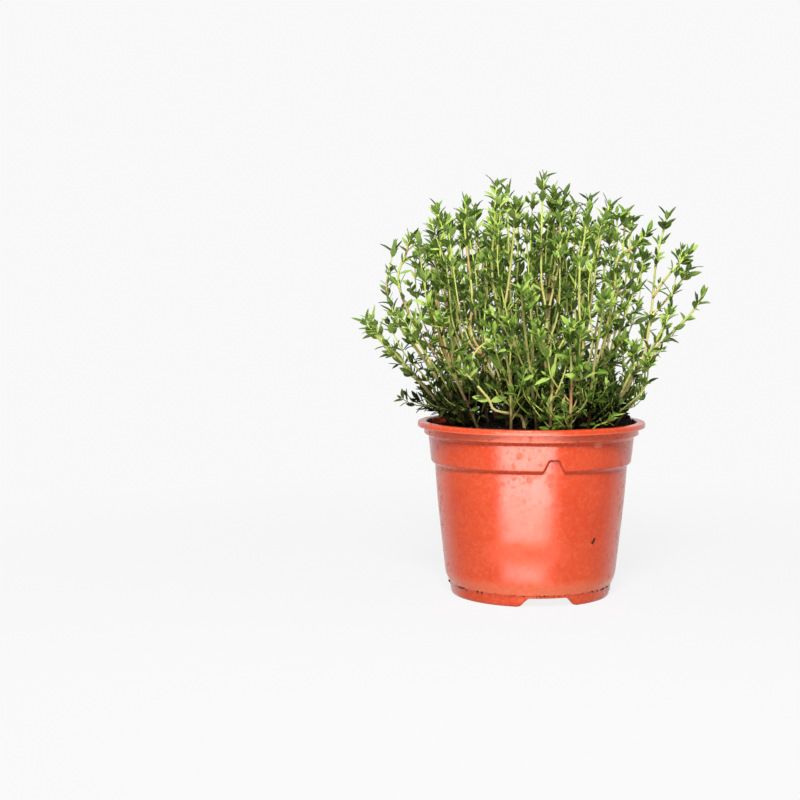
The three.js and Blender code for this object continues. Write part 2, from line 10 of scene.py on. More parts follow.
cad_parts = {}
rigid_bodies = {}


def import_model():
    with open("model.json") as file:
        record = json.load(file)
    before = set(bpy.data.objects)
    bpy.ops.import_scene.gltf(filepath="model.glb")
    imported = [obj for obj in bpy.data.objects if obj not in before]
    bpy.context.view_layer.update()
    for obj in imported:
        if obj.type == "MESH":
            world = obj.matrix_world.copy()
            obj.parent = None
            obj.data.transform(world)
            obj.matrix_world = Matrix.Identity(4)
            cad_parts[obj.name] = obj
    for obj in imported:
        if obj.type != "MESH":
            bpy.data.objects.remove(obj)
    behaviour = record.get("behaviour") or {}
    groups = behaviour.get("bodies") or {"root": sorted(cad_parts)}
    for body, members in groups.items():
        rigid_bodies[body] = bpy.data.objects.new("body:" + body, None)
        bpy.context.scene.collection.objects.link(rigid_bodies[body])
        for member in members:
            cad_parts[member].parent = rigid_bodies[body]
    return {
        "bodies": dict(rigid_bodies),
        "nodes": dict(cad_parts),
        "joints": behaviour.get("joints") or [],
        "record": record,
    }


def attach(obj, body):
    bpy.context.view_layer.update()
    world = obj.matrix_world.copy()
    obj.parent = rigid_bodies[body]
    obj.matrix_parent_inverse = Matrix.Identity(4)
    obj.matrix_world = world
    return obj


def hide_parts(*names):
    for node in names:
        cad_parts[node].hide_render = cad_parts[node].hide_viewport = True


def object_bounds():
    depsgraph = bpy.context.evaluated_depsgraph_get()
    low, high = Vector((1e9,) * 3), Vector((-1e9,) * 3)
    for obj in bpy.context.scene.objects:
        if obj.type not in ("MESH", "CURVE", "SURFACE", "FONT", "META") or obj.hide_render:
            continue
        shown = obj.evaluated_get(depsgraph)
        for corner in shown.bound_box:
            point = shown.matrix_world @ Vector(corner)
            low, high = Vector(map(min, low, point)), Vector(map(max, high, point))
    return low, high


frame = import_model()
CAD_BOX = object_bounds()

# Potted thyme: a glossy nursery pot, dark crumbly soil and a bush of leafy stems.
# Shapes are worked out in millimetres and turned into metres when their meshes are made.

MM = 0.001
BODY = "root"
BOX_LOW, BOX_HIGH = np.array(CAD_BOX) / MM

# Pot: its sides are [radius, height, roundness of the corner]
RIM_HEIGHT = 92.0
LIP_RADIUS = 60.3
FLOOR_UNDERSIDE = 4.6
FLOOR_TOP = 5.8
SKIRT_INNER_RADIUS = 40.4
SKIRT_RADIUS = 42.0
SKIRT_TOP_RADIUS = 43.0
SKIRT_TOP = 5.6
POT_OUTSIDE = [
    (SKIRT_TOP_RADIUS, SKIRT_TOP, 0.3), (45.3, 10.6, 3.0), (49.8, 51.7, 9.0), (51.05, 69.1, 0.25),
    (53.1, 70.8, 0.6), (54.5, 84.4, 0.9), (56.8, 85.5, 0.3), (56.9, 90.8, 0.4), (59.0, 90.8, 0.4),
    (59.1, 89.2, 0.15), (LIP_RADIUS, 89.2, 0.4), (60.2, 91.6, 0.5), (59.6, RIM_HEIGHT, 0.3),
]
POT_INSIDE = [
    (55.8, RIM_HEIGHT, 0.4), (55.6, 86.0, 0.5), (53.4, 84.8, 0.4), (52.0, 71.2, 0.5), (49.95, 69.4, 0.5),
    (44.1, 10.8, 2.0), (42.0, FLOOR_TOP, 0.0),
]
POINTS_UNDER_LIP = 8
CORNER_STEPS = 3
CORNER_REACH = 0.45
WALL = 1.1

# Rows of the skirt: [share of the way up from its lower edge, how far the row is moved out]
SKIRT_INSIDE_ROWS = [(1.0, 0.0), (0.5, 0.0), (0.0, 0.2)]
SKIRT_OUTSIDE_ROWS = [(0.0, -0.25), (0.12, 0.0), (0.4, 0.0), (0.75, 0.0)]

# Three gaps in the skirt and three recesses in the collar, the first at the front
TURNS = 3
TURN_STEP = 2 * math.pi / TURNS
FIRST_TURN = math.radians(-77)
GAP_HALF_WIDTHS = (15.3, 9.7)
GAP_TOP = 4.54
GAP_EASE = 0.6
RECESS_HALF_WIDTHS = (5.8, 2.3)
RECESS_BOTTOM = 69.0
RECESS_TOP = 76.2
RECESS_FLOOR = [(50.9, 67.0), (51.75, 79.0)]
RECESS_EDGE = 0.34
BODY_TOP_RADIUS = 51.05

DRAIN_HOLES = 6
DRAIN_RADIUS = 4.5
DRAIN_CIRCLE_RADIUS = 28.0
DRAIN_SIDES = 40
COLUMN_STEP = 2.0
FINE_COLUMN_STEP = 0.42
FINE_REACH = 17.5
ROW_STEP = 3.4
FINE_ROW_STEP = 0.4
FINE_ROWS = (67.0, 77.7)

# Marks on the pot, as [middle, half sizes], and heights where dirt and the painted light on the foot and the
# neck start, are full and end
RUBBED = ((-3.0, -47.0, 28.2), (32.0, 15.0, 9.0))
# The spot on the front of the neck, with painted light and dust that dulls the shine
FRONT_DUST_AND_LIGHT = ((-8.0, -56.0, 87.0), (42.0, 40.0, 12.0))
SCUFFS = [((33.8, -42.6, 83.4), (2.7, 3.0, 1.5)), ((25.6, -50.9, 87.2), (0.35, 1.5, 1.5))]
RIDGE_DIRT = (5.0, 5.6, 6.3, 7.4)
NECK_DIRT = (84.6, 85.6, 86.0, 88.0)
FOOT_PAINTED_LIGHT = (5.8, 6.6, 8.0, 15.0)
NECK_DUST_AND_LIGHT = (85.2, 85.8, 89.4, 90.2)

# Dried drops, as layers of [spacing, largest radius as a share of it, softness of the edge]
DROPS = [(5.2, 0.4, 0.05), (2.7, 0.42, 0.06), (1.3, 0.4, 0.08)]

# Soil
SOIL_CLEARANCE = 0.3
SOIL_EDGE_RADIUS = 55.2
SOIL_SIDES = [(41.8, 6.1), (43.6, 10.9), (49.5, 69.55), (51.55, 71.3), (52.85, 84.95), (55.05, 86.15)]
SOIL_EDGE_HEIGHT = 87.2
SOIL_MOUND = 4.6
SOIL_LUMPS = [
    (44, 8, 8.5, 9), (24, -34, 2.2, 10), (-28, 24, 2.6, 12), (-8, -12, 2.0, 14), (14, 33, 2.4, 9),
    (50, -20, -1.4, 8), (51, 4, 3.0, 6),
]
SOIL_COLUMNS = 220
SOIL_ROW_STEP = 3.0
SOIL_TOP_RINGS = 64
SOIL_LAST_RING = 0.02
BURIED_DEPTH = 12.0

# The peat's unevenness, as [millimetres, waves to the millimetre]
GRAINS = [(0.9, 0.17), (0.7, 0.55), (0.45, 1.3)]

# Crumbs on the soil, some inside the rim, and clusters on the pot's outside, as [lowest, highest, how many,
# smallest, largest], which keep above the gaps in the skirt
CRUMB_SEED = 31
CRUMBS = 2000
CRUMB_SIZES = (0.7, 3.0)
CRUMB_SQUASH = [(0.6, 1.2), (0.6, 1.2), (0.5, 1.0)]
CRUMB_UNEVENNESS = (0.7, 1.25)
CRUMB_EDGE_ROOM = 0.4
CRUMB_RISE = 0.15
RIM_CRUMBS = 70
RIM_CRUMB_RADIUS = 55.6
RIM_CRUMB_HEIGHTS = (87.5, 91.5)
RIM_CRUMB_SIZES = (0.4, 1.1)
POT_CRUMBS = [(5.6, 6.4, 130, 0.4, 1.4), (3.0, 5.2, 14, 0.3, 0.7), (85.6, 87.8, 42, 0.3, 0.7)]
CLUSTER = 3
CLUSTER_TURN = 0.07
GAP_CRUMB_ROOM = 0.5

# The largest lump on the wall, on the right of the front, and a smaller one below it: [x, height, size]
WALL_LUMP = [(32.6, 34.5, 1.7), (32.2, 33.7, 1.8), (31.5, 32.7, 1.4), (32.4, 31.0, 0.6)]

# Shoots
STEM_RADII = (0.85, 0.5)
FORK_RADII = (0.7, 0.5)
COMPANION_RADII = (0.56, 0.36)
SIDE_SHOOT_RADII = (0.4, 0.26)
TUFT_RADII = (0.3, 0.2)
STEM_CORNERS = 8
FORK_CORNERS = 7
COMPANION_CORNERS = 6
TWIG_CORNERS = 5
LENGTH_STEPS = 200
FRAME_STEP = 2.4
LOOSE_FRAME_STEP = 3.0
FIRST_PAIR = 10.0
FORK_FIRST_PAIR = 5.0
LONG_INTERNODE = 26.0
SHORT_INTERNODE = 7.0
INTERNODE_JITTER = 0.3
PAIR_TURN = math.pi / 2
TURN_JITTER = 0.4
LEAF_LENGTHS = (7.3, 9.5, 7.8)
LENGTH_JITTER = 0.3
LEAF_SPREADS = (1.15, 0.65)
SPREAD_JITTER = 0.35
PAIR_JITTER = 0.25
PAIR_LENGTHS = (0.85, 1.12)
PAIR_TINTS = 0.12
BACK_SEED = 11
SHOOT_SEED = 101
STEM_SEED = 1000
FOOT_SEED = 5000
TUBE_SQUARENESS = 0.12
KNUCKLE_SWELLING = 0.35
KNUCKLE_REACH = 1.1
SLOW_WAVE = (0.08, 0.9)
FAST_WAVE = (0.05, 2.3)

# Stems that show from the front: the foot [x, y], then points [x, y, height] to the tip, and forks that
# leave their stem at the path point with the number given first
FRONT_STEMS = [
    ([(-6, -24), (-7, -24, 122), (-10, -26, 134), (-15, -28, 146), (-20, -31, 168), (-19, -35, 194),
      (-18, -37, 213)],
     [(3, [(-12, -23, 164), (-10, -20, 183), (-8, -19, 204)]),
      (2, [(-16, -31, 136), (-22, -34, 135), (-28, -38, 130), (-31, -40, 123)])]),
    ([(0, -16), (2, -16, 110), (6, -18, 133), (8, -19, 147), (5, -21, 166), (5, -23, 184), (5, -25, 202),
      (6, -27, 218)],
     [(3, [(14, -22, 174), (19, -25, 191), (22, -28, 203)])]),
    ([(25, -18), (29, -18, 107), (34, -20, 119), (37, -22, 132), (42, -27, 162), (43, -30, 176),
      (51, -32, 183), (57, -34, 189)],
     [(2, [(41, -26, 128), (46, -32, 135)])]),
    ([(39, -6), (47, -5, 104), (54, -5, 118), (59, -5, 128), (62, -6, 147), (63, -6, 157), (65, -6, 179),
      (70, -5, 199)],
     [(4, [(71, -3, 157), (78, -2, 166), (82, -1, 172)]),
      (5, [(69, -10, 167), (75, -13, 174), (80, -15, 180)])]),
    ([(42, 7), (50, 8, 106), (54, 9, 114), (62, 9, 126), (74, 10, 138), (84, 11, 148), (90, 12, 157)], []),
    ([(38, 16), (46, 18, 104), (53, 22, 118), (59, 25, 131), (63, 27, 142)], []),
    ([(43, -10), (50, -10, 99), (55, -9, 105), (59, -10, 112)], [(1, [(54, -4, 102), (57, -1, 106)])]),
    ([(6, 0), (8, 0, 112), (10, 1, 131), (9, 3, 145), (13, 4, 180), (17, 5, 211)], []),
    ([(-12, -28), (-15, -28, 109), (-25, -30, 128), (-31, -32, 141), (-30, -34, 156), (-32, -36, 176),
      (-34, -38, 194), (-33, -39, 203)], []),
    ([(-22, -14), (-26, -15, 108), (-36, -18, 138), (-40, -20, 157), (-42, -22, 177), (-48, -26, 200)], []),
    ([(-32, -6), (-38, -7, 110), (-46, -8, 135), (-49, -8, 156), (-50, -9, 175), (-52, -10, 189)], []),
    ([(-40, 4), (-48, 3, 108), (-62, 2, 140), (-71, 1, 166), (-67, 1, 180), (-65, 1, 188)], []),
    ([(-42, -6), (-50, -8, 102), (-64, -10, 118), (-78, -11, 133), (-87, -12, 144)], []),
    ([(-3, -33), (-5, -35, 97), (-13, -38, 99), (-19, -40, 101), (-22, -41, 107), (-35, -44, 122)], []),
    ([(10, -45), (10, -46, 103), (11, -47, 117), (13, -48, 130), (18, -49, 139), (22, -49, 144)], []),
    ([(16, -36), (19, -37, 103), (24, -38, 123), (26, -38, 133), (24, -39, 151), (24, -42, 174),
      (26, -44, 187), (27, -46, 198)], []),
    ([(20, -43), (20, -46, 104), (20, -53, 120), (19, -60, 133), (19, -66, 143)], []),
    ([(20, -4), (23, -3, 110), (29, -3, 140), (33, -4, 169), (35, -4, 184), (40, -5, 205)], []),
    ([(32, -10), (35, -11, 108), (41, -12, 140), (45, -13, 165), (47, -14, 185), (48, -14, 200)], []),
    ([(-10, -42), (-10, -44, 108), (-12, -50, 126), (-15, -56, 135), (-20, -63, 142)], []),
    ([(35, -27), (40, -29, 100), (46, -32, 110), (51, -37, 123), (51, -42, 133)], []),
    ([(30, -39), (33, -40, 93), (38, -41, 95), (41, -41, 98)], []),
    ([(3, -38), (1, -42, 108), (-2, -53, 132), (-4, -65, 149), (-5, -74, 161)], []),
    ([(29, -33), (30, -39, 108), (32, -49, 130), (34, -60, 146), (35, -70, 157)], []),
    ([(-27, -28), (-34, -31, 106), (-43, -41, 128), (-47, -53, 144), (-50, -60, 153)], []),
    ([(-34, -20), (-42, -24, 106), (-55, -32, 126), (-66, -40, 142), (-71, -44, 154)], []),
    ([(-40, -14), (-49, -17, 103), (-63, -22, 120), (-75, -25, 134), (-82, -27, 146)], []),
    ([(37, -19), (46, -23, 106), (56, -29, 124), (64, -34, 138), (69, -37, 149)], []),
]

# The stem that is pale down to its foot, with its pair of large leaves, and the small bright sprig
PALE_STEM = 14
PALE_PAIR = 27.5
PALE_LEAF = 9.4
PALE_WIDTH = 1.15
PALE_TINT = 0.8
PALE_WAYS = [(-1.0, -0.1, 0.12), (1.0, -0.1, 0.12)]
FRONT_FACE = (0.0, -1.0, 0.5)
SPRIG = 22
SPRIG_LEAF = 0.8
SPRIG_WIDTH = 0.8
SPRIG_STEM = 0.62
SPRIG_TINT = 0.5
OPEN_BOX = ((-30.0, -70.0, 92.0), (-2.0, -34.0, 110.0))

# Ages of bark: 0 at the foot of a stem, 1 at its tip and more where it is green; two stems have only one
ONE_AGE = {PALE_STEM: 0.5, SPRIG: 2.0}
FORK_AGE = 0.35
COMPANION_AGES = (0.25, 0.5)
GREEN_AGE = 1.45

# Small leaves low on the stems of the front, at distances up the stem
FOOT_PAIRS = (3.0, 9.0, 15.0)
FOOT_PAIR_CHANCE = 0.72
FREE_FOOT_PAIR_BELOW = 4.0
FOOT_PAIRS_FROM = -18.0
FOOT_LEAF = (3.8, 6.6)
FOOT_LEAF_WIDTH = 1.3
FOOT_TINT = (0.1, 0.6)
FOOT_LIT = 0.66

# Stems of the back, in rows of [y, y of the tips, count]
BACK_ROWS = [(12, 24, 6), (24, 49, 6), (36, 71, 5)]
BACK_SPACING = 12
BACK_FAN = 1.75
FOOT_JITTER = 2.4
TIP_JITTER = 9
DOME_RADIUS = 98
DOME_HEIGHT = 124
DOME_POWER = 4
DOME_DROP = 14
FAN_STEPS = [0.15, 0.4, 0.7, 1]
FAN_BEND = 1.7

# Thin side stems, which run up beside the main ones: fewer at the open edges, none on the low stems
COMPANION_STEPS = [0.0, 0.12, 0.35, 0.66, 1.0]
COMPANION_START = (0.08, 0.4)
COMPANION_AWAY = (6.0, 14.0)
COMPANION_END = (0.84, 1.0)
COMPANION_BEND = 2.5
COMPANION_WANDER = 3.0
COMPANION_FIRST_PAIR = (5.0, 9.0)
COMPANION_INTERNODES = (15.0, 8.0)
COMPANION_TOP = 5.0
COMPANION_SPREAD = (0.5, 1.05)
BACK_COMPANIONS = 4
OPEN_BACK_COMPANIONS = 1
FRONT_COMPANIONS = 2
OPEN_FRONT_COMPANIONS = 1
OPEN_SIDE = 34.0
OPEN_LEFT = -62.0
LOW_TIP = 130.0
LOW_SIDE = 60.0
LOW_SIDE_TIP = 160.0

# Small growth: leaves between the large pairs, tufts in the axils and side shoots
BETWEEN_ROOM = 11.0
BETWEEN_CHANCE = 0.7
SMALL_SPREAD = (0.7, 1.1)
TUFT_CHANCES = (0.5, 0.75)
TUFT_LEAF = (3.2, 5.6)
TUFT_LEAN = (0.35, 0.75)
TUFT_SPREAD = (0.35, 0.8)
TUFT_STALK = (0.6, 3.2)
TUFT_LAYERS = (1, 1, 2)
TUFT_LAYER_GAP = 1.1
SIDE_SHOOT_CHANCE = 0.84
SIDE_SHOOTS_TO = 0.8
SIDE_SHOOT_LENGTH = (10.0, 24.0)
SIDE_SHOOT_LEAF = (4.8, 7.0)
SIDE_SHOOT_LEAN = (0.6, 1.0)
SIDE_SHOOT_RISE = (0.3, 0.8)
SIDE_SHOOT_GAP = (4.0, 6.5)
SIDE_SHOOT_TOP = 2.5
BASAL_SHOOTS = 9
BASAL_REACH = (0.5, 15.0)
BASAL_LENGTH = (8.0, 25.0)
BASAL_LEAF = (5.2, 7.4)
SHORT_STEM = 34.0
SHORT_STEM_SHOOTS = 2
SHORT_STEM_LENGTH = (8.0, 10.0)
LOW_PAIRS = (2.5, 6.0, 9.5)
LOW_PAIRS_FROM = 22.0
LOW_LEAF = (4.6, 7.0)
LOW_SPREAD = (0.8, 1.2)

# The bends of a side shoot, as shares of its length along its first and its last direction
SIDE_SHOOT_PATH = [(0.0, 0.0), (0.35, 0.0), (0.6, 0.1), (0.6, 0.4)]

# Pairs that crowd at the end of a shoot: [distance back from its end, leaf length, lean]
TIP_PAIRS = [(7.0, 8.2, 1.0), (4.2, 7.6, 0.85), (2.0, 6.4, 0.65), (0.6, 4.8, 0.42), (0.0, 3.0, 0.2)]
SIDE_TIP_PAIRS = [(0.9, 0.95, 0.7), (0.0, 0.7, 0.35)]
TIP_WIDTH = 1.1

# Leaves: [share of the length, share of the half width] between the base and the point, and the columns
# across, from margin to margin
LEAF_WIDTH_SHARE = 0.35
LEAF_STATIONS = [(0.1, 0.22), (0.26, 0.72), (0.45, 1.0), (0.68, 0.82), (0.88, 0.38)]
LEAF_COLUMNS = [-1.0, -0.6, 0.0, 0.6, 1.0]
SMALL_STATIONS = [(0.14, 0.32), (0.37, 0.97), (0.62, 0.9), (0.86, 0.42)]
SMALL_COLUMNS = [-1.0, 0.0, 1.0]
FINE_LEAF_LENGTH = 6.2
LEAF_FOLD = 0.34
LEAF_ROLL = 0.55
ROLL_START = 0.6
LEAF_THICKNESS = 0.3
LEAF_TWIST = 0.55
LEAF_WIDTHS = (0.85, 1.15)
LEAF_FOLDS = (0.2, 1.3)
LEAF_BENDS = (-0.1, 0.7)
LEAF_LIFTS = (0.0, 0.35)
LEAF_SWAYS = (-0.08, 0.08)
UNDER_AT_RIM = 0.3
TINT_LOW = 0.2
TINT_RISE = 0.38
TINT_JITTER = (-0.44, 0.46)

# Where the bush is open, and how far leaves keep from the pot, the soil and the plant's box
OPEN_HEIGHT = 103.0
OPEN_RADIUS = 52.0
OPEN_RADIUS_RIGHT = 45.0
OPEN_RIGHT = 24.0
OPEN_BACK = 20.0
RIGHT_EDGE = 60.0
RIGHT_EDGE_HEIGHT = 110.0
RIGHT_EDGE_LEAN = 0.8
RIGHT_EDGE_TOP = 150.0
RIM_CLEARANCE = 0.8
RIM_INNER_ROOM = 1.5
RIM_OUTER_ROOM = 1.0
LOWEST_OUTSIDE = 80.0
SOIL_LEAF_CLEARANCE = 0.6
BOX_MARGIN = 1.0
MAIN_BOX_MARGIN = 3.0
BOX_ROOM = 4.0

# Where the bush keeps the light out, by height and by distance from its middle, and where its front and
# its right side are lit
SHADE_HEIGHTS = (92.0, 140.0)
CORE = (0.0, 42.0)
CORE_LIT = 0.65
EDGE_LIT = 0.62
EDGE_FRONT = (34.0, 50.0)
EDGE_RIGHT = (46.0, 60.0)

# Camera, in millimetres, apart from its clip distances, which are in metres
CAMERA_PLACE = (0.0, -784.0, 160.0)
CAMERA_TARGET = (-70.0, 0.0, 102.4)
CAMERA_LENS = 66.15
SENSOR_WIDTH = 36.0
CAMERA_CLIP = (0.01, 50.0)
BACKGROUND = 0.942

# The floor, with its distances in millimetres
FLOOR_REACH = 6000.0
FLOOR_FADE = (150.0, 520.0)
FLOOR_SHADE = 0.07
FLOOR_GLOW = 0.846

# Light from all round, as [direction, how far a ray faces it at the low and the high end, strengths there]
WALLS = ((-0.05, -0.62, 0.78), -0.3, 1.0, 0.1, 0.62)
BOUNCE = ((0.0, 0.0, -1.0), 0.0, 0.8, 0.0, 0.75)
SHEEN = ((0.0, 1.0, 0.0), 0.15, 0.68, 0.32, 1.0)

# Cards in front, in millimetres, as [left and right, bottom and top], and the lamp, in metres
CARD_Y = -1050.0
CARDS = [((-715, 540), (-357, 130)), ((-850, 300), (-455, -380))]
CARD_GLOW = 10.6
KEY_PLACE = (-0.04, -0.95, 0.95)
KEY_TARGET = (0, 0, 0.13)
KEY_SIDE = 0.3
KEY_POWER = 21.0


def seeded_random(seed):
    """Numbers from 0 to 1, the same on every run"""
    state = (seed * 2654435761) % 2**32

    def draw():
        nonlocal state
        state = (state * 1664525 + 1013904223) & 0xFFFFFFFF
        return state / 2**32

    draw()
    draw()
    return draw


def jitter(draw, size):
    return (draw() - 0.5) * size


def lerp(low, high, share):
    return low + (high - low) * share


def smooth_step(low, high, value):
    share = np.clip((value - low) / (high - low), 0.0, 1.0)
    return share * share * (3 - 2 * share)


def unit(vector):
    return vector / np.linalg.norm(vector)


def around(count):
    """Turns that go once round a circle"""
    return np.arange(count) * 2 * math.pi / count


def on_circle(radius, turn, height=0.0):
    """The place at a turn of a level circle; each of the three can be an array"""
    return np.stack(np.broadcast_arrays(radius * np.cos(turn), radius * np.sin(turn), height), axis=-1)


def square_to(along, side, turn):
    """The direction at a turn round a line, from a side vector that is square to the line"""
    return side * math.cos(turn) + np.cross(along, side) * math.sin(turn)


def soil_height(x, y):
    """The soil's surface at a place, without its grain"""
    share = np.hypot(x, y) / SOIL_EDGE_RADIUS
    height = SOIL_EDGE_HEIGHT + SOIL_MOUND * (1 - share * share)
    for lump_x, lump_y, lump_height, spread in SOIL_LUMPS:
        away = ((x - lump_x) ** 2 + (y - lump_y) ** 2) / spread ** 2
        height = height + lump_height * np.exp(-away)
    return height


# Meshes


def add_object(name, data):
    made = bpy.data.objects.new(name, data)
    bpy.context.scene.collection.objects.link(made)
    return made


def ring_faces(rings, amount, first=0):
    """Four-cornered faces between rings of corners that follow each other"""
    faces = []
    for row in range(rings - 1):
        low = first + row * amount
        high = low + amount
        for i in range(amount):
            after = (i + 1) % amount
            faces.append((low + i, low + after, high + after, high + i))
    return faces


class MeshParts:
    """Corners and faces of one piece, with values kept on its corners for the materials"""

    def __init__(self, names=()):
        self.corners = []
        self.faces = []
        self.values = {name: [] for name in names}
        self.count = 0

    def add(self, corners, faces, **values):
        self.corners.append(corners)
        self.faces.extend([[self.count + i for i in face] for face in faces])
        for name, kept in self.values.items():
            kept.append(np.broadcast_to(values[name], (len(corners),)))
        self.count += len(corners)

    def build(self, name, material, replaced=(), smooth=True, sharp=None):
        mesh = bpy.data.meshes.new(name)
        mesh.from_pydata((np.concatenate(self.corners) * MM).tolist(), [], self.faces)
        for value_name, kept in self.values.items():
            attribute = mesh.attributes.new(value_name, "FLOAT", "POINT")
            attribute.data.foreach_set("value", np.concatenate(kept).astype(np.float32))
        mesh.polygons.foreach_set("use_smooth", [smooth] * len(mesh.polygons))
        if sharp:
            self.crease(mesh, sharp)
        mesh.materials.append(material)
        mesh.update()
        piece = add_object(name, mesh)
        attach(piece, BODY)
        if replaced:
            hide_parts(*replaced)

    def crease(self, mesh, name):
        """Makes an edge sharp where the value is over a half at both of its ends"""
        marked = np.concatenate(self.values[name]) > 0.5
        ends = np.zeros(2 * len(mesh.edges), dtype=np.int32)
        mesh.edges.foreach_get("vertices", ends)
        ends = ends.reshape(-1, 2)
        edges = mesh.attributes.new("sharp_edge", "BOOLEAN", "EDGE")
        edges.data.foreach_set("value", marked[ends[:, 0]] & marked[ends[:, 1]])


# Materials


def rgb(red, green, blue):
    """A colour for a shader from display values of 0 to 255"""
    values = []
    for value in (red, green, blue):
        share = value / 255
        values.append(share / 12.92 if share <= 0.04045 else ((share + 0.055) / 1.055) ** 2.4)
    return (*values, 1.0)


class Nodes:
    """Short calls that add and link the nodes of a material or of the world"""

    def __init__(self, owner):
        owner.use_nodes = True
        self.nodes = owner.node_tree.nodes
        self.links = owner.node_tree.links

    def link(self, source, target):
        if hasattr(source, "is_output"):
            self.links.new(source, target)
        else:
            target.default_value = source

    def add(self, kind, inputs, **settings):
        """The outputs of a new node, with its inputs linked or set"""
        node = self.nodes.new("ShaderNode" + kind)
        for name, value in settings.items():
            setattr(node, name, value)
        for name, value in inputs.items():
            self.link(value, node.inputs[name])
        return node.outputs

    def joined(self, operation, values):
        """The result of an operation on two values, or on more, one after another"""
        result = values[0]
        for value in values[1:]:
            result = self.add("Math", {0: result, 1: value}, operation=operation)[0]
        return result

    def plus(self, *values):
        return self.joined("ADD", values)

    def times(self, *values):
        return self.joined("MULTIPLY", values)

    def most(self, *values):
        return self.joined("MAXIMUM", values)

    def vector(self, operation, first, second=(0.0, 0.0, 0.0)):
        return self.add("VectorMath", {0: first, 1: second}, operation=operation)

    def ramp(self, value, low, high, out_low=0.0, out_high=1.0):
        """A smooth change from one value to another as the input goes from low to high"""
        inputs = {"Value": value, "From Min": low, "From Max": high, "To Min": out_low, "To Max": out_high}
        return self.add("MapRange", inputs, interpolation_type="SMOOTHSTEP")["Result"]

    def band(self, value, start, full, still_full, end, top=1.0):
        """A rise from 0 and a fall back to 0"""
        return self.times(self.ramp(value, start, full), self.ramp(value, still_full, end, top, 0.0))

    def mix(self, share, first, second, kind="RGBA"):
        return self.add("Mix", {"Factor": share, "A": first, "B": second}, data_type=kind)["Result"]


class Material(Nodes):
    """A material's nodes, with places in millimetres and a colour that is painted coat by coat"""

    def __init__(self, name, colour=(0, 0, 0)):
        self.material = bpy.data.materials.new(name)
        super().__init__(self.material)
        self.shader = self.nodes["Principled BSDF"].inputs
        place = self.add("TexCoord", {})["Object"]
        self.place = self.add("VectorMath", {0: place, "Scale": 1 / MM}, operation="SCALE")[0]
        self.colour = rgb(*colour)

    def attribute(self, name):
        return self.add("Attribute", {}, attribute_name=name)["Fac"]

    def noise(self, size, detail=2.0, rough=0.5, stretch=None):
        """Noise from 0 to 1 with grains of about a size in millimetres, scaled apart along x, y and z"""
        place = self.vector("MULTIPLY", self.place, stretch)[0] if stretch else self.place
        inputs = {"Scale": 1 / size, "Detail": detail, "Roughness": rough, "Vector": place}
        return self.add("TexNoise", inputs)["Fac"]

    def cells(self, size):
        """Distance to the middle of the nearest cell, in cell sizes, and a random number for the cell"""
        outputs = self.add("TexVoronoi", {"Scale": 1 / size, "Vector": self.place})
        return outputs["Distance"], self.add("SeparateColor", {0: outputs["Color"]})[0]

    def dots(self, size, largest, edge):
        """1 inside round dots of many sizes, one for each cell"""
        distance, number = self.cells(size)
        radius = self.ramp(number, 0.35, 1.0, 0.0, largest)
        return self.ramp(self.joined("SUBTRACT", (distance, radius)), -edge, 0.0, 1.0, 0.0)

    def spot(self, place, size, core=0.8):
        """1 inside an ellipsoid, given by its middle and its half sizes in millimetres, and 0 outside"""
        away = self.vector("SUBTRACT", self.place, place)[0]
        scaled = self.vector("MULTIPLY", away, [1 / side for side in size])[0]
        return self.ramp(self.vector("LENGTH", scaled)["Value"], core, 1.1, 1.0, 0.0)

    def paint(self, colour, mask, share=1.0):
        """Lays a coat over the colour so far, where the mask is over 0"""
        strength = mask if share == 1.0 else self.times(mask, share)
        self.colour = self.mix(strength, self.colour, rgb(*colour))

    def finish(self, rough, specular, relief, depth):
        """Gives the shader its colour, its shine and a relief of a depth in millimetres"""
        self.link(self.colour, self.shader["Base Color"])
        self.link(rough, self.shader["Roughness"])
        self.shader["Specular IOR Level"].default_value = specular
        bumpy = self.add("Bump", {"Distance": depth * MM, "Height": relief})
        self.link(bumpy["Normal"], self.shader["Normal"])
        return self.material


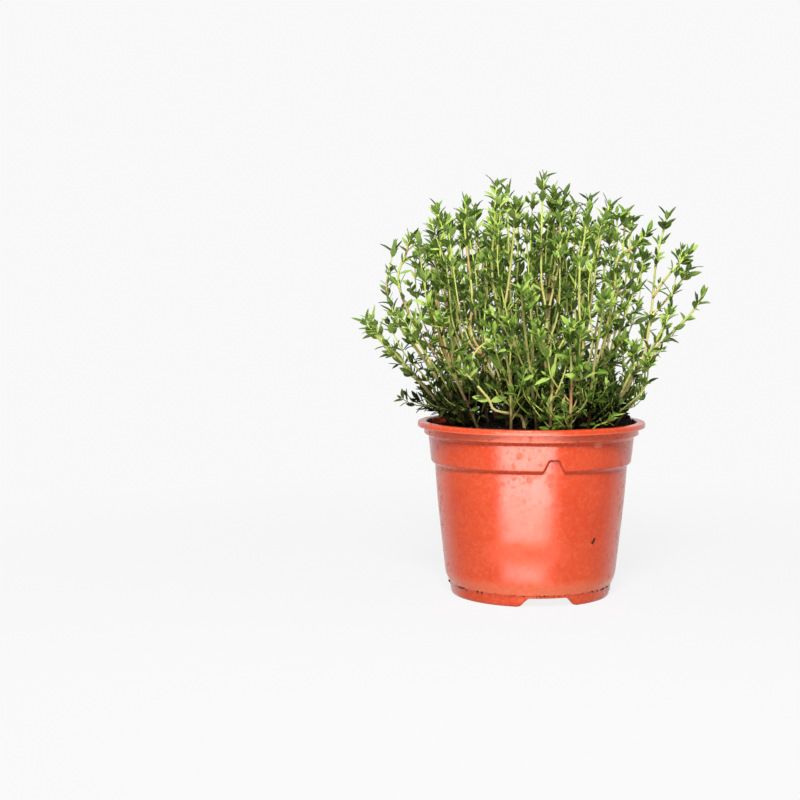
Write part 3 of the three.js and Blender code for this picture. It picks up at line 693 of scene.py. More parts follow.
def pot_material():
    """Orange-red moulded plastic with dried drops, a few scuffs, peat dirt on its ledges and painted light on
    its neck and foot
    """
    tree = Material("moulded_plastic", (215, 68, 26))
    tree.paint((222, 79, 36), tree.ramp(tree.noise(26, 3), 0.3, 0.7))
    tree.paint((208, 60, 27), tree.ramp(tree.noise(3.0, 3, stretch=(0.12, 0.12, 1.0)), 0.35, 0.75, 0.0, 0.25))
    film = tree.ramp(tree.noise(2.2, 4, 0.6), 0.38, 0.66)
    tree.paint((240, 150, 120), film, 0.1)
    # Drops stand thickly in some places and hardly in others
    patches = tree.ramp(tree.noise(15), 0.33, 0.43)
    drops = tree.times(tree.most(*(tree.dots(*layer) for layer in DROPS)), patches)
    tree.paint((190, 72, 44), drops, 0.1)
    tree.paint((238, 150, 124), tree.most(*(tree.spot(*scuff) for scuff in SCUFFS)), 0.4)
    # Painted light: the foot of the wall, which faces down, and the neck in the lip's shadow are painted
    # paler, the neck most of all in front, where dust also dulls the shine
    level = tree.add("SeparateXYZ", {0: tree.place})["Z"]
    tree.paint((255, 132, 92), tree.band(level, *FOOT_PAINTED_LIGHT), 0.6)
    neck = tree.band(level, *NECK_DUST_AND_LIGHT)
    tree.paint((250, 112, 74), neck, 0.7)
    # Painted reflection on the front of the neck, where dust also takes the shine away
    dust_and_painted_light = tree.times(neck, tree.spot(*FRONT_DUST_AND_LIGHT, 0.3))
    tree.paint((250, 158, 128), dust_and_painted_light, 0.12)
    # Specks of peat, and dirt that gathers on the ridge and under the lip
    distance, number = tree.cells(3.4)
    specks = tree.times(tree.ramp(distance, 0.05, 0.09, 1.0, 0.0), tree.ramp(number, 0.6, 0.62))
    ledges = tree.most(tree.band(level, *RIDGE_DIRT), tree.band(level, *NECK_DIRT, 0.3))
    patchy = tree.ramp(tree.noise(1.6, 4, 0.7, (0.6, 0.6, 1.4)), 0.52, 0.62)
    dirt = tree.most(tree.times(specks, 0.7), tree.times(ledges, patchy, 0.6))
    tree.paint((62, 24, 16), dirt)
    # Drops, dust, dirt and rubbing take the shine away
    rough = tree.ramp(tree.noise(14), 0.3, 0.7, 0.19, 0.24)
    rubbed = tree.spot(*RUBBED, 0.15)
    for mark, change in ((drops, 0.17), (film, 0.08), (dirt, 0.4), (rubbed, 0.3), (dust_and_painted_light, 0.15)):
        rough = tree.plus(rough, tree.times(mark, change))
    tree.shader["IOR"].default_value = 1.5
    relief = tree.plus(tree.times(tree.noise(0.9), 0.6), tree.times(drops, 0.5), tree.times(dirt, 1.5))
    return tree.finish(rough, 0.62, relief, 0.05)


def soil_material():
    """Nearly black peat with a few brown fibres"""
    tree = Material("dark_peat", (14, 9, 8))
    tree.paint((46, 31, 23), tree.ramp(tree.noise(1.6, 4, 0.65), 0.35, 0.7))
    tree.paint((92, 66, 44), tree.ramp(tree.noise(0.7), 0.66, 0.74))
    rough = tree.ramp(tree.noise(2.0), 0.3, 0.7, 0.75, 1.0)
    return tree.finish(rough, 0.25, tree.noise(0.5, 4, 0.7), 0.5)


def stem_material():
    """Tan and a little reddish low down, straw-coloured in the middle and yellow-green at the tips, with
    painted shade low down and inside the bush
    """
    tree = Material("thyme_bark", (112, 82, 52))
    age = tree.plus(tree.attribute("age"), tree.ramp(tree.noise(9), 0.2, 0.8, -0.16, 0.16))
    tree.paint((190, 158, 102), tree.ramp(age, 0.0, 0.16))
    tree.paint((220, 208, 136), tree.ramp(age, 0.1, 0.34))
    tree.paint((198, 210, 104), tree.ramp(age, 0.35, 0.8))
    tree.paint((124, 168, 62), tree.ramp(age, 1.3, 1.6))
    blush = tree.times(tree.ramp(tree.noise(18, 1), 0.5, 0.62), tree.attribute("blush"))
    tree.paint((192, 138, 100), blush)
    streaks = tree.noise(0.6, 3, stretch=(1.0, 1.0, 0.12))
    tree.paint((146, 128, 76), tree.ramp(streaks, 0.4, 0.7, 0.0, 0.22))
    # Painted shade: bark low down and inside the bush is darkened
    tree.paint((44, 32, 20), tree.ramp(tree.attribute("shade"), 0.0, 0.7, 0.72, 0.0))
    rough = tree.ramp(tree.noise(2.0), 0.3, 0.7, 0.48, 0.66)
    return tree.finish(rough, 0.2, tree.noise(0.4, 3, stretch=(1.0, 1.0, 0.2)), 0.1)


def leaf_material():
    """Green blades, lighter when young, with a pale midrib, a greyer underside and painted shade low down and
    inside the bush
    """
    tree = Material("thyme_leaf", (20, 38, 5))
    tint = tree.attribute("tint")
    shade = tree.attribute("shade")
    tree.paint((104, 140, 42), tree.ramp(tint, 0.0, 0.5))
    tree.paint((174, 200, 98), tree.ramp(tint, 0.4, 0.9))
    tree.paint((62, 98, 24), tree.ramp(tree.noise(1.7, 3), 0.35, 0.7, 0.0, 0.25))
    across = tree.add("Math", {0: tree.attribute("across")}, operation="ABSOLUTE")[0]
    tree.paint((176, 196, 104), tree.ramp(across, 0.04, 0.22, 0.5, 0.0))
    under = tree.ramp(tree.attribute("under"), UNDER_AT_RIM, UNDER_AT_RIM + 0.2, 0.0, 0.55)
    tree.paint((120, 146, 78), under)
    # Painted shade: leaves low down and inside the bush are darkened to a deep green, those on the lit front
    # and right side less so
    tree.paint((13, 22, 4), tree.ramp(shade, 0.0, 1.0, 0.92, 0.0))
    rough = tree.plus(tree.ramp(tree.noise(1.2), 0.3, 0.7, 0.4, 0.56), tree.ramp(shade, 0.0, 0.8, 0.5, 0.0))
    # Fine oil glands dimple both faces
    return tree.finish(rough, 0.09, tree.plus(tree.cells(0.34)[0], tree.noise(0.8)), 0.05)


# Pot


def rounded(profile):
    """The points of a profile with each corner turned into a short curve"""
    places = np.array(profile)[:, :2]
    points = [places[0]]
    for before, here, after, corner in zip(places, places[1:], places[2:], profile[1:]):
        back = before - here
        ahead = after - here
        cut = min(corner[2], CORNER_REACH * np.linalg.norm(back), CORNER_REACH * np.linalg.norm(ahead))
        start = here + unit(back) * cut
        end = here + unit(ahead) * cut
        for share in np.linspace(0, 1, CORNER_STEPS + 1):
            points.append(start * (1 - share) ** 2 + 2 * here * share * (1 - share) + end * share ** 2)
    return points + [places[-1]]


def subdivided(points, step_at):
    """The same outline with no piece longer than the step that its height asks for"""
    out = [points[0]]
    for start, end in zip(points, points[1:]):
        middle = (start[1] + end[1]) / 2
        pieces = max(1, math.ceil(np.linalg.norm(end - start) / step_at(middle)))
        for i in range(1, pieces + 1):
            out.append(start + (end - start) * i / pieces)
    return np.array(out)


def pot_row_step(height):
    return FINE_ROW_STEP if FINE_ROWS[0] < height < FINE_ROWS[1] else ROW_STEP


def pot_columns():
    """Turns round the pot, close together near the gaps and the recesses"""
    fine = np.arange(-FINE_REACH, FINE_REACH, FINE_COLUMN_STEP)
    length = TURN_STEP * BODY_TOP_RADIUS - 2 * FINE_REACH
    plain = FINE_REACH + np.linspace(0, length, round(length / COLUMN_STEP), endpoint=False)
    arcs = np.concatenate([fine, plain]) / BODY_TOP_RADIUS
    return np.concatenate([FIRST_TURN + i * TURN_STEP + arcs for i in range(TURNS)])


def nearest_turn(columns):
    """For each column, its angle from the nearest of the three turns"""
    return (columns - FIRST_TURN + TURN_STEP / 2) % TURN_STEP - TURN_STEP / 2


def recess_share(away, height, inset):
    """1 inside the trapezoid of a recess, 0 outside, with a rounded edge; away is the arc in millimetres"""
    rise = np.clip((height - RECESS_BOTTOM) / (RECESS_TOP - RECESS_BOTTOM), 0, 1)
    half = lerp(*RECESS_HALF_WIDTHS, rise) + inset
    beside = smooth_step(-RECESS_EDGE, RECESS_EDGE, half - np.abs(away))
    above = smooth_step(-RECESS_EDGE, RECESS_EDGE, RECESS_TOP + inset - height)
    return np.where(height > RECESS_BOTTOM - inset - RECESS_EDGE, beside * above, 0.0)


def side_rings(side, columns, inset=0.0):
    """Rings of corners along a side, with the recesses set in to the cone of the body"""
    radii = side[:, :1]
    heights = side[:, 1:]
    share = recess_share(nearest_turn(columns) * BODY_TOP_RADIUS, heights, inset)
    (low_radius, low), (high_radius, high) = RECESS_FLOOR
    deep = lerp(low_radius, high_radius, (heights - low) / (high - low)) - inset
    return list(on_circle(lerp(radii, np.minimum(radii, deep), share), columns, heights))


def gap_lift(columns):
    """How far the lower edge of the skirt is raised at each column, for the gaps between the feet"""
    away = np.abs(nearest_turn(columns)) * SKIRT_RADIUS
    low, high = GAP_HALF_WIDTHS
    share = np.clip((low - away) / (low - high), 0, 1)
    return GAP_TOP * lerp(share, smooth_step(0, 1, share), GAP_EASE)


def pot_rings(columns):
    """Rings of corners: down inside the skirt, up the outside, over the rim and down inside to the floor"""
    lift = gap_lift(columns)
    rings = []
    for share, moved in SKIRT_INSIDE_ROWS:
        rings.append(on_circle(SKIRT_INNER_RADIUS + moved, columns, lerp(lift, FLOOR_UNDERSIDE, share)))
    for share, moved in SKIRT_OUTSIDE_ROWS:
        heights = lerp(lift, SKIRT_TOP, share)
        radii = lerp(SKIRT_RADIUS, SKIRT_TOP_RADIUS, heights / SKIRT_TOP) + moved
        rings.append(on_circle(radii, columns, heights))
    profile = rounded(POT_OUTSIDE + POT_INSIDE)
    rim = 1 + (len(POT_OUTSIDE) - 1) * (CORNER_STEPS + 1)
    outside = subdivided(profile[:rim + 1], pot_row_step)
    inside = subdivided(profile[rim:], lambda height: ROW_STEP)[1:]
    return rings + side_rings(outside, columns) + side_rings(inside, columns, WALL)


def plate_faces(corners, loops, faces_up):
    """Triangles that fill the first loop of corners, except for the other loops, and face up or down"""
    names = [i for loop in loops for i in loop]
    outlines = [[Vector((corners[i][0], corners[i][1], 0)) for i in loop] for loop in loops]
    faces = []
    for triangle in geometry.tessellate_polygon(outlines):
        a, b, c = (names[i] for i in triangle)
        normal = np.cross(corners[b] - corners[a], corners[c] - corners[a])
        faces.append((a, b, c) if (normal[2] > 0) == faces_up else (c, b, a))
    return faces


def make_pot(material):
    """The wall and the skirt as one skin, closed by a floor with drain holes right through it"""
    columns = pot_columns()
    rings = pot_rings(columns)
    amount = len(columns)
    faces = ring_faces(len(rings), amount)
    first = len(rings) * amount
    under_loops = [range(amount)]
    top_loops = [range(first - amount, first)]
    for turn in around(DRAIN_HOLES):
        hole = on_circle(DRAIN_CIRCLE_RADIUS, turn) + on_circle(DRAIN_RADIUS, around(DRAIN_SIDES))
        rings += [hole + (0, 0, FLOOR_UNDERSIDE), hole + (0, 0, FLOOR_TOP)]
        faces += ring_faces(2, DRAIN_SIDES, first)
        under_loops.append(range(first, first + DRAIN_SIDES))
        top_loops.append(range(first + DRAIN_SIDES, first + 2 * DRAIN_SIDES))
        first += 2 * DRAIN_SIDES
    corners = np.concatenate(rings)
    faces += plate_faces(corners, under_loops, False) + plate_faces(corners, top_loops, True)
    parts = MeshParts()
    parts.add(corners, faces)
    parts.build("pot_moulded", material, ["pot"])


# Soil


def rough_height(x, y):
    """The soil's surface at a place, with its grain"""
    grain = sum(depth * noise.noise(Vector((x, y, 0)) * waves) for depth, waves in GRAINS)
    return float(soil_height(x, y)) + grain


def make_soil(material):
    """The whole root ball: its underside and sides follow the pot and its top is rough"""
    angles = around(SOIL_COLUMNS)
    side = subdivided([np.array(point) for point in SOIL_SIDES], lambda height: SOIL_ROW_STEP)
    rings = side_rings(side, angles, WALL + SOIL_CLEARANCE)
    for share in np.linspace(1, SOIL_LAST_RING, SOIL_TOP_RINGS):
        ring = on_circle(share * SOIL_EDGE_RADIUS, angles)
        ring[:, 2] = [rough_height(x, y) for x, y, _ in ring]
        rings.append(ring)
    faces = ring_faces(len(rings), SOIL_COLUMNS)
    foot = len(rings) * SOIL_COLUMNS
    last = foot - SOIL_COLUMNS
    for i in range(SOIL_COLUMNS):
        after = (i + 1) % SOIL_COLUMNS
        faces += [(foot, after, i), (last + i, last + after, foot + 1)]
    parts = MeshParts()
    parts.add(np.concatenate([*rings, [(0, 0, SOIL_SIDES[0][1]), (0, 0, rough_height(0, 0))]]), faces)
    parts.build("peat", material, ["soil"])


def ball_shape():
    """Corners and faces of a coarse ball, from which crumbs are made"""
    ball = bmesh.new()
    bmesh.ops.create_icosphere(ball, subdivisions=1, radius=1.0)
    corners = np.array([corner.co for corner in ball.verts])
    faces = [tuple(corner.index for corner in face.verts) for face in ball.faces]
    ball.free()
    return corners, faces


def add_crumb(parts, shape, centre, size, dice):
    """A lump of peat: a squashed ball with uneven corners"""
    corners, faces = shape
    squash = [dice.uniform(*limits) for limits in CRUMB_SQUASH]
    turn = dice.uniform(0, math.pi)
    uneven = np.array([dice.uniform(*CRUMB_UNEVENNESS) for _ in corners])[:, None]
    x, y, z = (corners * uneven * squash * size / 2).T
    cos, sin = math.cos(turn), math.sin(turn)
    parts.add(np.column_stack([x * cos - y * sin, x * sin + y * cos, z]) + centre, faces)


def pot_radius(height):
    """Radius of the pot's wall at a height"""
    radii, heights, _ = zip(*POT_OUTSIDE[:POINTS_UNDER_LIP])
    return float(np.interp(height, heights, radii))


def make_crumbs(material):
    """Crumbs on the soil, inside the rim, on the pot's ledges and on its wall"""
    dice = random.Random(CRUMB_SEED)
    shape = ball_shape()
    parts = MeshParts()
    for _ in range(CRUMBS):
        radius = (SOIL_EDGE_RADIUS - CRUMB_EDGE_ROOM) * math.sqrt(dice.random())
        x, y, _ = on_circle(radius, dice.uniform(0, 2 * math.pi))
        size = lerp(*CRUMB_SIZES, dice.random() ** 3)
        add_crumb(parts, shape, (x, y, rough_height(x, y) + CRUMB_RISE * size), size, dice)
    for _ in range(RIM_CRUMBS):
        turn = dice.uniform(0, 2 * math.pi)
        centre = on_circle(RIM_CRUMB_RADIUS, turn, dice.uniform(*RIM_CRUMB_HEIGHTS))
        add_crumb(parts, shape, centre, dice.uniform(*RIM_CRUMB_SIZES), dice)
    for low, high, amount, smallest, largest in POT_CRUMBS:
        for i in range(amount):
            if i % CLUSTER == 0:
                cluster = dice.uniform(0, 2 * math.pi)
            turn = cluster + dice.uniform(-CLUSTER_TURN, CLUSTER_TURN)
            height = max(dice.uniform(low, high), float(gap_lift(turn)) + GAP_CRUMB_ROOM)
            centre = on_circle(pot_radius(height), turn, height)
            add_crumb(parts, shape, centre, lerp(smallest, largest, dice.random() ** 2), dice)
    for x, height, size in WALL_LUMP:
        y = -math.sqrt(pot_radius(height) ** 2 - x * x)
        add_crumb(parts, shape, (x, y, height), size, dice)
    parts.build("peat_crumbs", material, smooth=False)


# Shoots


def catmull_rom(points, shares):
    """Places on the smooth curve through some points, at shares of the way from the first to the last"""
    padded = np.vstack([2 * points[0] - points[1], points, 2 * points[-1] - points[-2]])
    position = np.clip(shares, 0, 1) * (len(points) - 1)
    first = np.minimum(position.astype(int), len(points) - 2)
    w = (position - first)[:, None]
    p0, p1, p2, p3 = (padded[first + k] for k in range(4))
    start = (p2 - p0) / 2
    end = (p3 - p1) / 2
    return p1 + w * start + w**2 * (3 * (p2 - p1) - 2 * start - end) + w**3 * (2 * (p1 - p2) + start + end)


def back_paths():
    """Paths of the back stems, worked out from their rows"""
    draw = seeded_random(BACK_SEED)
    paths = []
    for row_y, tip_row_y, count in BACK_ROWS:
        for i in range(count):
            x = (i - (count - 1) / 2) * BACK_SPACING + jitter(draw, FOOT_JITTER)
            y = row_y + jitter(draw, FOOT_JITTER)
            tip_x = x * BACK_FAN + jitter(draw, TIP_JITTER)
            tip_y = tip_row_y + jitter(draw, TIP_JITTER)
            reach = math.hypot(tip_x, tip_y) / DOME_RADIUS
            ground = float(soil_height(x, y))
            tip_z = ground + DOME_HEIGHT * math.sqrt(1 - reach**DOME_POWER) - draw() * DOME_DROP
            path = [(x, y)]
            for step in FAN_STEPS:
                out = 1 - (1 - step) ** FAN_BEND
                path.append((lerp(x, tip_x, out), lerp(y, tip_y, out), lerp(ground, tip_z, step)))
            paths.append((path, []))
    return paths


def leaf_length(share):
    """Leaves are short at the foot of a shoot, longest in its middle and short at its tip"""
    return float(np.interp(share, (0.0, 0.5, 1.0), LEAF_LENGTHS))


def pair_distances(length, first, draw):
    """Distances of the large pairs of leaves up a shoot, closer together towards its tip"""
    distances = []
    distance = first
    while distance < length - SHORT_INTERNODE / 2:
        distances.append(distance)
        internode = lerp(LONG_INTERNODE, SHORT_INTERNODE, distance / length)
        distance += internode * (1 + jitter(draw, INTERNODE_JITTER))
    return distances + [length]


class Shoot:
    """A curved stem with a frame at any distance along it"""

    def __init__(self, points, radii, corners, side=(1.0, 0.0, 0.0), step=LOOSE_FRAME_STEP):
        self.points = np.array(points, dtype=float)
        self.radii = radii
        self.corners = corners
        self.knuckles = []
        shares = np.linspace(0, 1, LENGTH_STEPS + 1)
        steps = np.linalg.norm(np.diff(catmull_rom(self.points, shares), axis=0), axis=1)
        lengths = np.concatenate([[0.0], np.cumsum(steps)])
        self.length = float(lengths[-1])
        self.distances = np.linspace(0, self.length, max(3, round(self.length / step)) + 1)
        self.places = catmull_rom(self.points, np.interp(self.distances, lengths, shares))
        ahead = np.gradient(self.places, axis=0)
        self.along = ahead / np.linalg.norm(ahead, axis=1)[:, None]
        self.set_side(side)

    def set_side(self, side):
        """Carries a side vector along the shoot, kept square to it"""
        self.sides = np.zeros_like(self.places)
        for i, along in enumerate(self.along):
            side = unit(side - along * np.dot(side, along))
            self.sides[i] = side

    def frame_at(self, distance):
        """The place, the direction and the side vector at a distance"""
        position = np.clip(distance / self.length, 0, 1) * (len(self.distances) - 1)
        low = min(int(position), len(self.distances) - 2)
        place, along, side = (lerp(kept[low], kept[low + 1], position - low)
                              for kept in (self.places, self.along, self.sides))
        along = unit(along)
        return place, along, unit(side - along * np.dot(side, along))


def inside_open_box(place):
    """Whether a place is in the opening in front of the pale bent stem"""
    return all(low < value < high for value, low, high in zip(place, *OPEN_BOX))


def beyond_right(place):
    """Whether a place is past the right side of the bush, which leans out from the rim"""
    x, _, z = place
    return z < RIGHT_EDGE_TOP and x > RIGHT_EDGE + RIGHT_EDGE_LEAN * (z - RIGHT_EDGE_HEIGHT)


def hangs_over(place):
    """Whether a place is low over the rim, where the bush is open, most of all on the right"""
    x, y, z = place
    if beyond_right(place):
        return True
    if y > OPEN_BACK and x < OPEN_RIGHT:
        return False
    limit = OPEN_RADIUS_RIGHT if x > OPEN_RIGHT else OPEN_RADIUS
    return z < OPEN_HEIGHT and math.hypot(x, y) > limit


def leaf_fits(place, direction, length, margin=BOX_MARGIN):
    """Leaves keep above the soil, off the rim and inside the plant's box"""
    for share in (0.5, 1.0):
        end = place + direction * length * share
        x, y, z = end
        radius = math.hypot(x, y)
        if radius < SOIL_EDGE_RADIUS and z < soil_height(x, y) + SOIL_LEAF_CLEARANCE:
            return False
        is_over_rim = SOIL_EDGE_RADIUS - RIM_INNER_ROOM <= radius <= LIP_RADIUS + RIM_OUTER_ROOM
        if is_over_rim and z < RIM_HEIGHT + RIM_CLEARANCE:
            return False
        if radius > LIP_RADIUS + RIM_OUTER_ROOM and z < LOWEST_OUTSIDE:
            return False
        room = np.array((margin, margin, BOX_MARGIN))
        if np.any(end <= BOX_LOW - room) or np.any(end >= BOX_HIGH + room):
            return False
    return True


def shade_at(place):
    """0 where the bush keeps the light out, low down and in its middle, and 1 at its outside"""
    height = smooth_step(*SHADE_HEIGHTS, place[..., 2])
    outer = smooth_step(*CORE, np.hypot(place[..., 0], place[..., 1]))
    front = smooth_step(*EDGE_FRONT, -place[..., 1])
    right = smooth_step(*EDGE_RIGHT, place[..., 0])
    return lerp(height * lerp(CORE_LIT, 1.0, outer), 1.0, EDGE_LIT * np.maximum(front, right))


class StemNode:
    """Everything that one leafy stem is made of: its tubes and its leaves"""

    def __init__(self, number):
        self.number = number
        self.dice = random.Random(STEM_SEED + number)
        self.tubes = []
        self.leaves = []

    def tint(self, share):
        """The lightness of a leaf, which is greatest near the tips"""
        return float(np.clip(TINT_LOW + TINT_RISE * share + self.dice.uniform(*TINT_JITTER), 0, 1))

    def add_leaf(self, frame, turn, spread, length, tint, width=1.0, margin=BOX_MARGIN):
        place, along, side = frame
        out = square_to(along, side, turn)
        direction = out * math.sin(spread) + along * math.cos(spread)
        face = along * math.sin(spread) - out * math.cos(spread)
        face = square_to(direction, face, self.dice.uniform(-LEAF_TWIST, LEAF_TWIST))
        if self.number != PALE_STEM and inside_open_box(place + direction * length / 2):
            return
        if beyond_right(place + direction * length * 0.8):
            return
        shade = float(shade_at(place))
        if self.number == SPRIG:
            length *= SPRIG_LEAF
            width *= SPRIG_WIDTH
            tint = max(tint, SPRIG_TINT)
            shade = 1.0
        if leaf_fits(place, direction, length, margin):
            self.leaves.append((place, direction, face, length, tint, width, shade))

    def add_pair(self, shoot, distance, turn, spread, length, tint, width=1.0):
        """Two opposite leaves"""
        dice = self.dice
        frame = shoot.frame_at(distance)
        for opposite in (0.0, math.pi):
            leaf_turn = turn + opposite + dice.uniform(-PAIR_JITTER, PAIR_JITTER)
            leaf_spread = spread + dice.uniform(-PAIR_JITTER, PAIR_JITTER)
            size = length * dice.uniform(*PAIR_LENGTHS)
            leaf_tint = float(np.clip(tint + dice.uniform(-PAIR_TINTS, PAIR_TINTS), 0, 1))
            self.add_leaf(frame, leaf_turn, leaf_spread, size, leaf_tint, width)

    def add_front_pair(self, place, ways, length, tint, width, shade):
        """Two leaves, one to each side, that turn their faces to the front"""
        for way in ways:
            direction = unit(np.array(way))
            face = unit(FRONT_FACE - direction * np.dot(FRONT_FACE, direction))
            if leaf_fits(place, direction, length):
                self.leaves.append((place, direction, face, length, tint, width, shade))


def main_leaves(node, shoot, draw, first_pair):
    """Adds the large pairs of leaves of a shoot, and gives the distance and the turn of each"""
    pairs = pair_distances(shoot.length, first_pair, draw)
    shoot.set_side(on_circle(1.0, draw() * math.pi))
    shoot.knuckles = pairs[:-1]
    turns_at = []
    for number, distance in enumerate(pairs):
        share = distance / shoot.length
        spread = lerp(*LEAF_SPREADS, share**2)
        pair_turn = number * PAIR_TURN + jitter(draw, TURN_JITTER)
        turns_at.append((distance, pair_turn))
        frame = shoot.frame_at(distance)
        for opposite in (0.0, math.pi):
            turn = pair_turn + opposite + jitter(draw, TURN_JITTER)
            tilt = spread + jitter(draw, SPREAD_JITTER)
            length = leaf_length(share) * (1 + jitter(draw, LENGTH_JITTER))
            node.add_leaf(frame, turn, tilt, length, node.tint(share), margin=MAIN_BOX_MARGIN)
    return turns_at


def add_tip_cluster(node, shoot):
    """The crowded pairs and the bud at the end of a shoot"""
    dice = node.dice
    turn = dice.uniform(0, math.pi)
    for back, length, spread in TIP_PAIRS:
        turn += PAIR_TURN
        length *= dice.uniform(0.88, 1.1)
        node.add_pair(shoot, shoot.length - back, turn, spread, length, node.tint(1.0), TIP_WIDTH)


def add_axil_tuft(node, frame, turn, size, tint):
    """A few small leaves in the axil of a larger one"""
    dice = node.dice
    place, along, side = frame
    lean = dice.uniform(*TUFT_LEAN)
    direction = unit(along * math.cos(lean) + square_to(along, side, turn) * math.sin(lean))
    stalk = direction * dice.uniform(*TUFT_STALK)
    if hangs_over(place):
        return
    points = [place, place + stalk / 2, place + stalk + along * 0.2]
    tuft = Shoot(points, TUFT_RADII, TWIG_CORNERS, np.cross(direction, along))
    node.tubes.append((tuft, GREEN_AGE))
    for layer in range(dice.choice(TUFT_LAYERS)):
        node.add_pair(tuft, tuft.length - TUFT_LAYER_GAP * layer, layer * PAIR_TURN + dice.uniform(0, 0.8),
                      dice.uniform(*TUFT_SPREAD), size * dice.uniform(0.75, 1.15), tint)


def add_side_shoot(node, frame, turn, length, size):
    """A thin leafy side shoot that leaves the stem and bends up"""
    dice = node.dice
    place, along, side = frame
    up = np.array([0.0, 0.0, 1.0])
    lean = dice.uniform(*SIDE_SHOOT_LEAN)
    start = unit(along * math.cos(lean) + square_to(along, side, turn) * math.sin(lean))
    end = unit(start + up * dice.uniform(*SIDE_SHOOT_RISE) + along * 0.3)
    points = [place + (start * first + end * last) * length for first, last in SIDE_SHOOT_PATH]
    if hangs_over(points[-1]) or inside_open_box(points[-1]) or not leaf_fits(points[-1], end, 3.0):
        return
    branch = Shoot(points, SIDE_SHOOT_RADII, TWIG_CORNERS, np.cross(start, up + 0.01))
    node.tubes.append((branch, GREEN_AGE))
    gap = dice.uniform(*SIDE_SHOOT_GAP)
    distance = gap * 0.8
    number = 0
    while distance < branch.length - SIDE_SHOOT_TOP:
        turn = number * PAIR_TURN + dice.uniform(-0.2, 0.2)
        node.add_pair(branch, distance, turn, dice.uniform(*SMALL_SPREAD), size * dice.uniform(0.8, 1.1),
                      node.tint(0.4))
        distance += gap
        number += 1
    for back, share, spread in SIDE_TIP_PAIRS:
        number += 1
        node.add_pair(branch, branch.length - back, number * PAIR_TURN, spread, size * share, node.tint(0.7))


def dress_shoot(node, shoot, turns_at):
    """Adds small growth along a shoot: pairs between the large ones, tufts in the axils and side shoots"""
    dice = node.dice
    for (distance, turn), (after, _) in zip(turns_at, turns_at[1:]):
        middle = lerp(distance, after, dice.uniform(0.42, 0.58))
        share = middle / shoot.length
        if after - distance > BETWEEN_ROOM and share > 0.5 and dice.random() < BETWEEN_CHANCE:
            node.add_pair(shoot, middle, turn + PAIR_TURN / 2, dice.uniform(*SMALL_SPREAD),
                          leaf_length(share) * dice.uniform(0.7, 0.95), node.tint(share))
    for distance, turn in turns_at[:-1]:
        frame = shoot.frame_at(distance)
        share = distance / shoot.length
        for opposite in (0.0, math.pi):
            chance = dice.random()
            if chance < lerp(*TUFT_CHANCES, share):
                size = dice.uniform(*TUFT_LEAF) + share
                add_axil_tuft(node, frame, turn + opposite, size, node.tint(share * 0.8))
            elif chance > SIDE_SHOOT_CHANCE and share < SIDE_SHOOTS_TO:
                length = dice.uniform(*SIDE_SHOOT_LENGTH) * (1.15 - share)
                add_side_shoot(node, frame, turn + opposite, length, dice.uniform(*SIDE_SHOOT_LEAF))


def add_low_growth(node, shoot):
    """Small leaves low on the outer stems, and side shoots near the foot of each stem"""
    dice = node.dice
    if abs(shoot.places[0][1]) > LOW_PAIRS_FROM and node.number not in ONE_AGE:
        for distance in LOW_PAIRS:
            node.add_pair(shoot, distance, dice.uniform(0, math.pi), dice.uniform(*LOW_SPREAD),
                          dice.uniform(*LOW_LEAF), node.tint(0.5))
    is_short = shoot.length < SHORT_STEM
    lengths = SHORT_STEM_LENGTH if is_short else BASAL_LENGTH
    for _ in range(SHORT_STEM_SHOOTS if is_short else BASAL_SHOOTS):
        frame = shoot.frame_at(dice.uniform(*BASAL_REACH))
        turn = dice.uniform(0, 2 * math.pi)
        add_side_shoot(node, frame, turn, dice.uniform(*lengths), dice.uniform(*BASAL_LEAF))


def add_companion(node, parent, turn):
    """A side stem that leaves its parent low down and then runs up beside it"""
    dice = node.dice
    start = parent.length * dice.uniform(*COMPANION_START)
    end = parent.length * dice.uniform(*COMPANION_END)
    away = dice.uniform(*COMPANION_AWAY)
    points = []
    for step in COMPANION_STEPS:
        place, along, side = parent.frame_at(lerp(start, end, step))
        out = square_to(along, side, turn) * away * (1 - (1 - step) ** COMPANION_BEND)
        loose = np.array([dice.uniform(-1, 1), dice.uniform(-1, 1), 0]) * COMPANION_WANDER * step
        points.append(np.clip(place + out + loose, BOX_LOW + BOX_ROOM, BOX_HIGH - BOX_ROOM))
    shoot = Shoot(points, COMPANION_RADII, COMPANION_CORNERS)
    node.tubes.append((shoot, dice.uniform(*COMPANION_AGES)))
    turns_at = []
    distance = dice.uniform(*COMPANION_FIRST_PAIR)
    while distance < shoot.length - COMPANION_TOP:
        share = distance / shoot.length
        pair_turn = turn + len(turns_at) * PAIR_TURN
        node.add_pair(shoot, distance, pair_turn, dice.uniform(*COMPANION_SPREAD),
                      leaf_length(share) * dice.uniform(0.82, 1.08), node.tint(share))
        turns_at.append((distance, pair_turn))
        distance += lerp(*COMPANION_INTERNODES, share) * dice.uniform(0.85, 1.15)
    turns_at.append((shoot.length, turn))
    add_tip_cluster(node, shoot)
    dress_shoot(node, shoot, turns_at)


def companions_of(path, number):
    """How many side stems a stem carries"""
    tip_x, _, tip_z = path[-1]
    if number > len(FRONT_STEMS):
        return BACK_COMPANIONS if tip_x < OPEN_SIDE else OPEN_BACK_COMPANIONS
    if tip_z < LOW_TIP or tip_x > LOW_SIDE and tip_z < LOW_SIDE_TIP:
        return 0
    return FRONT_COMPANIONS if OPEN_LEFT <= tip_x <= OPEN_SIDE else OPEN_FRONT_COMPANIONS


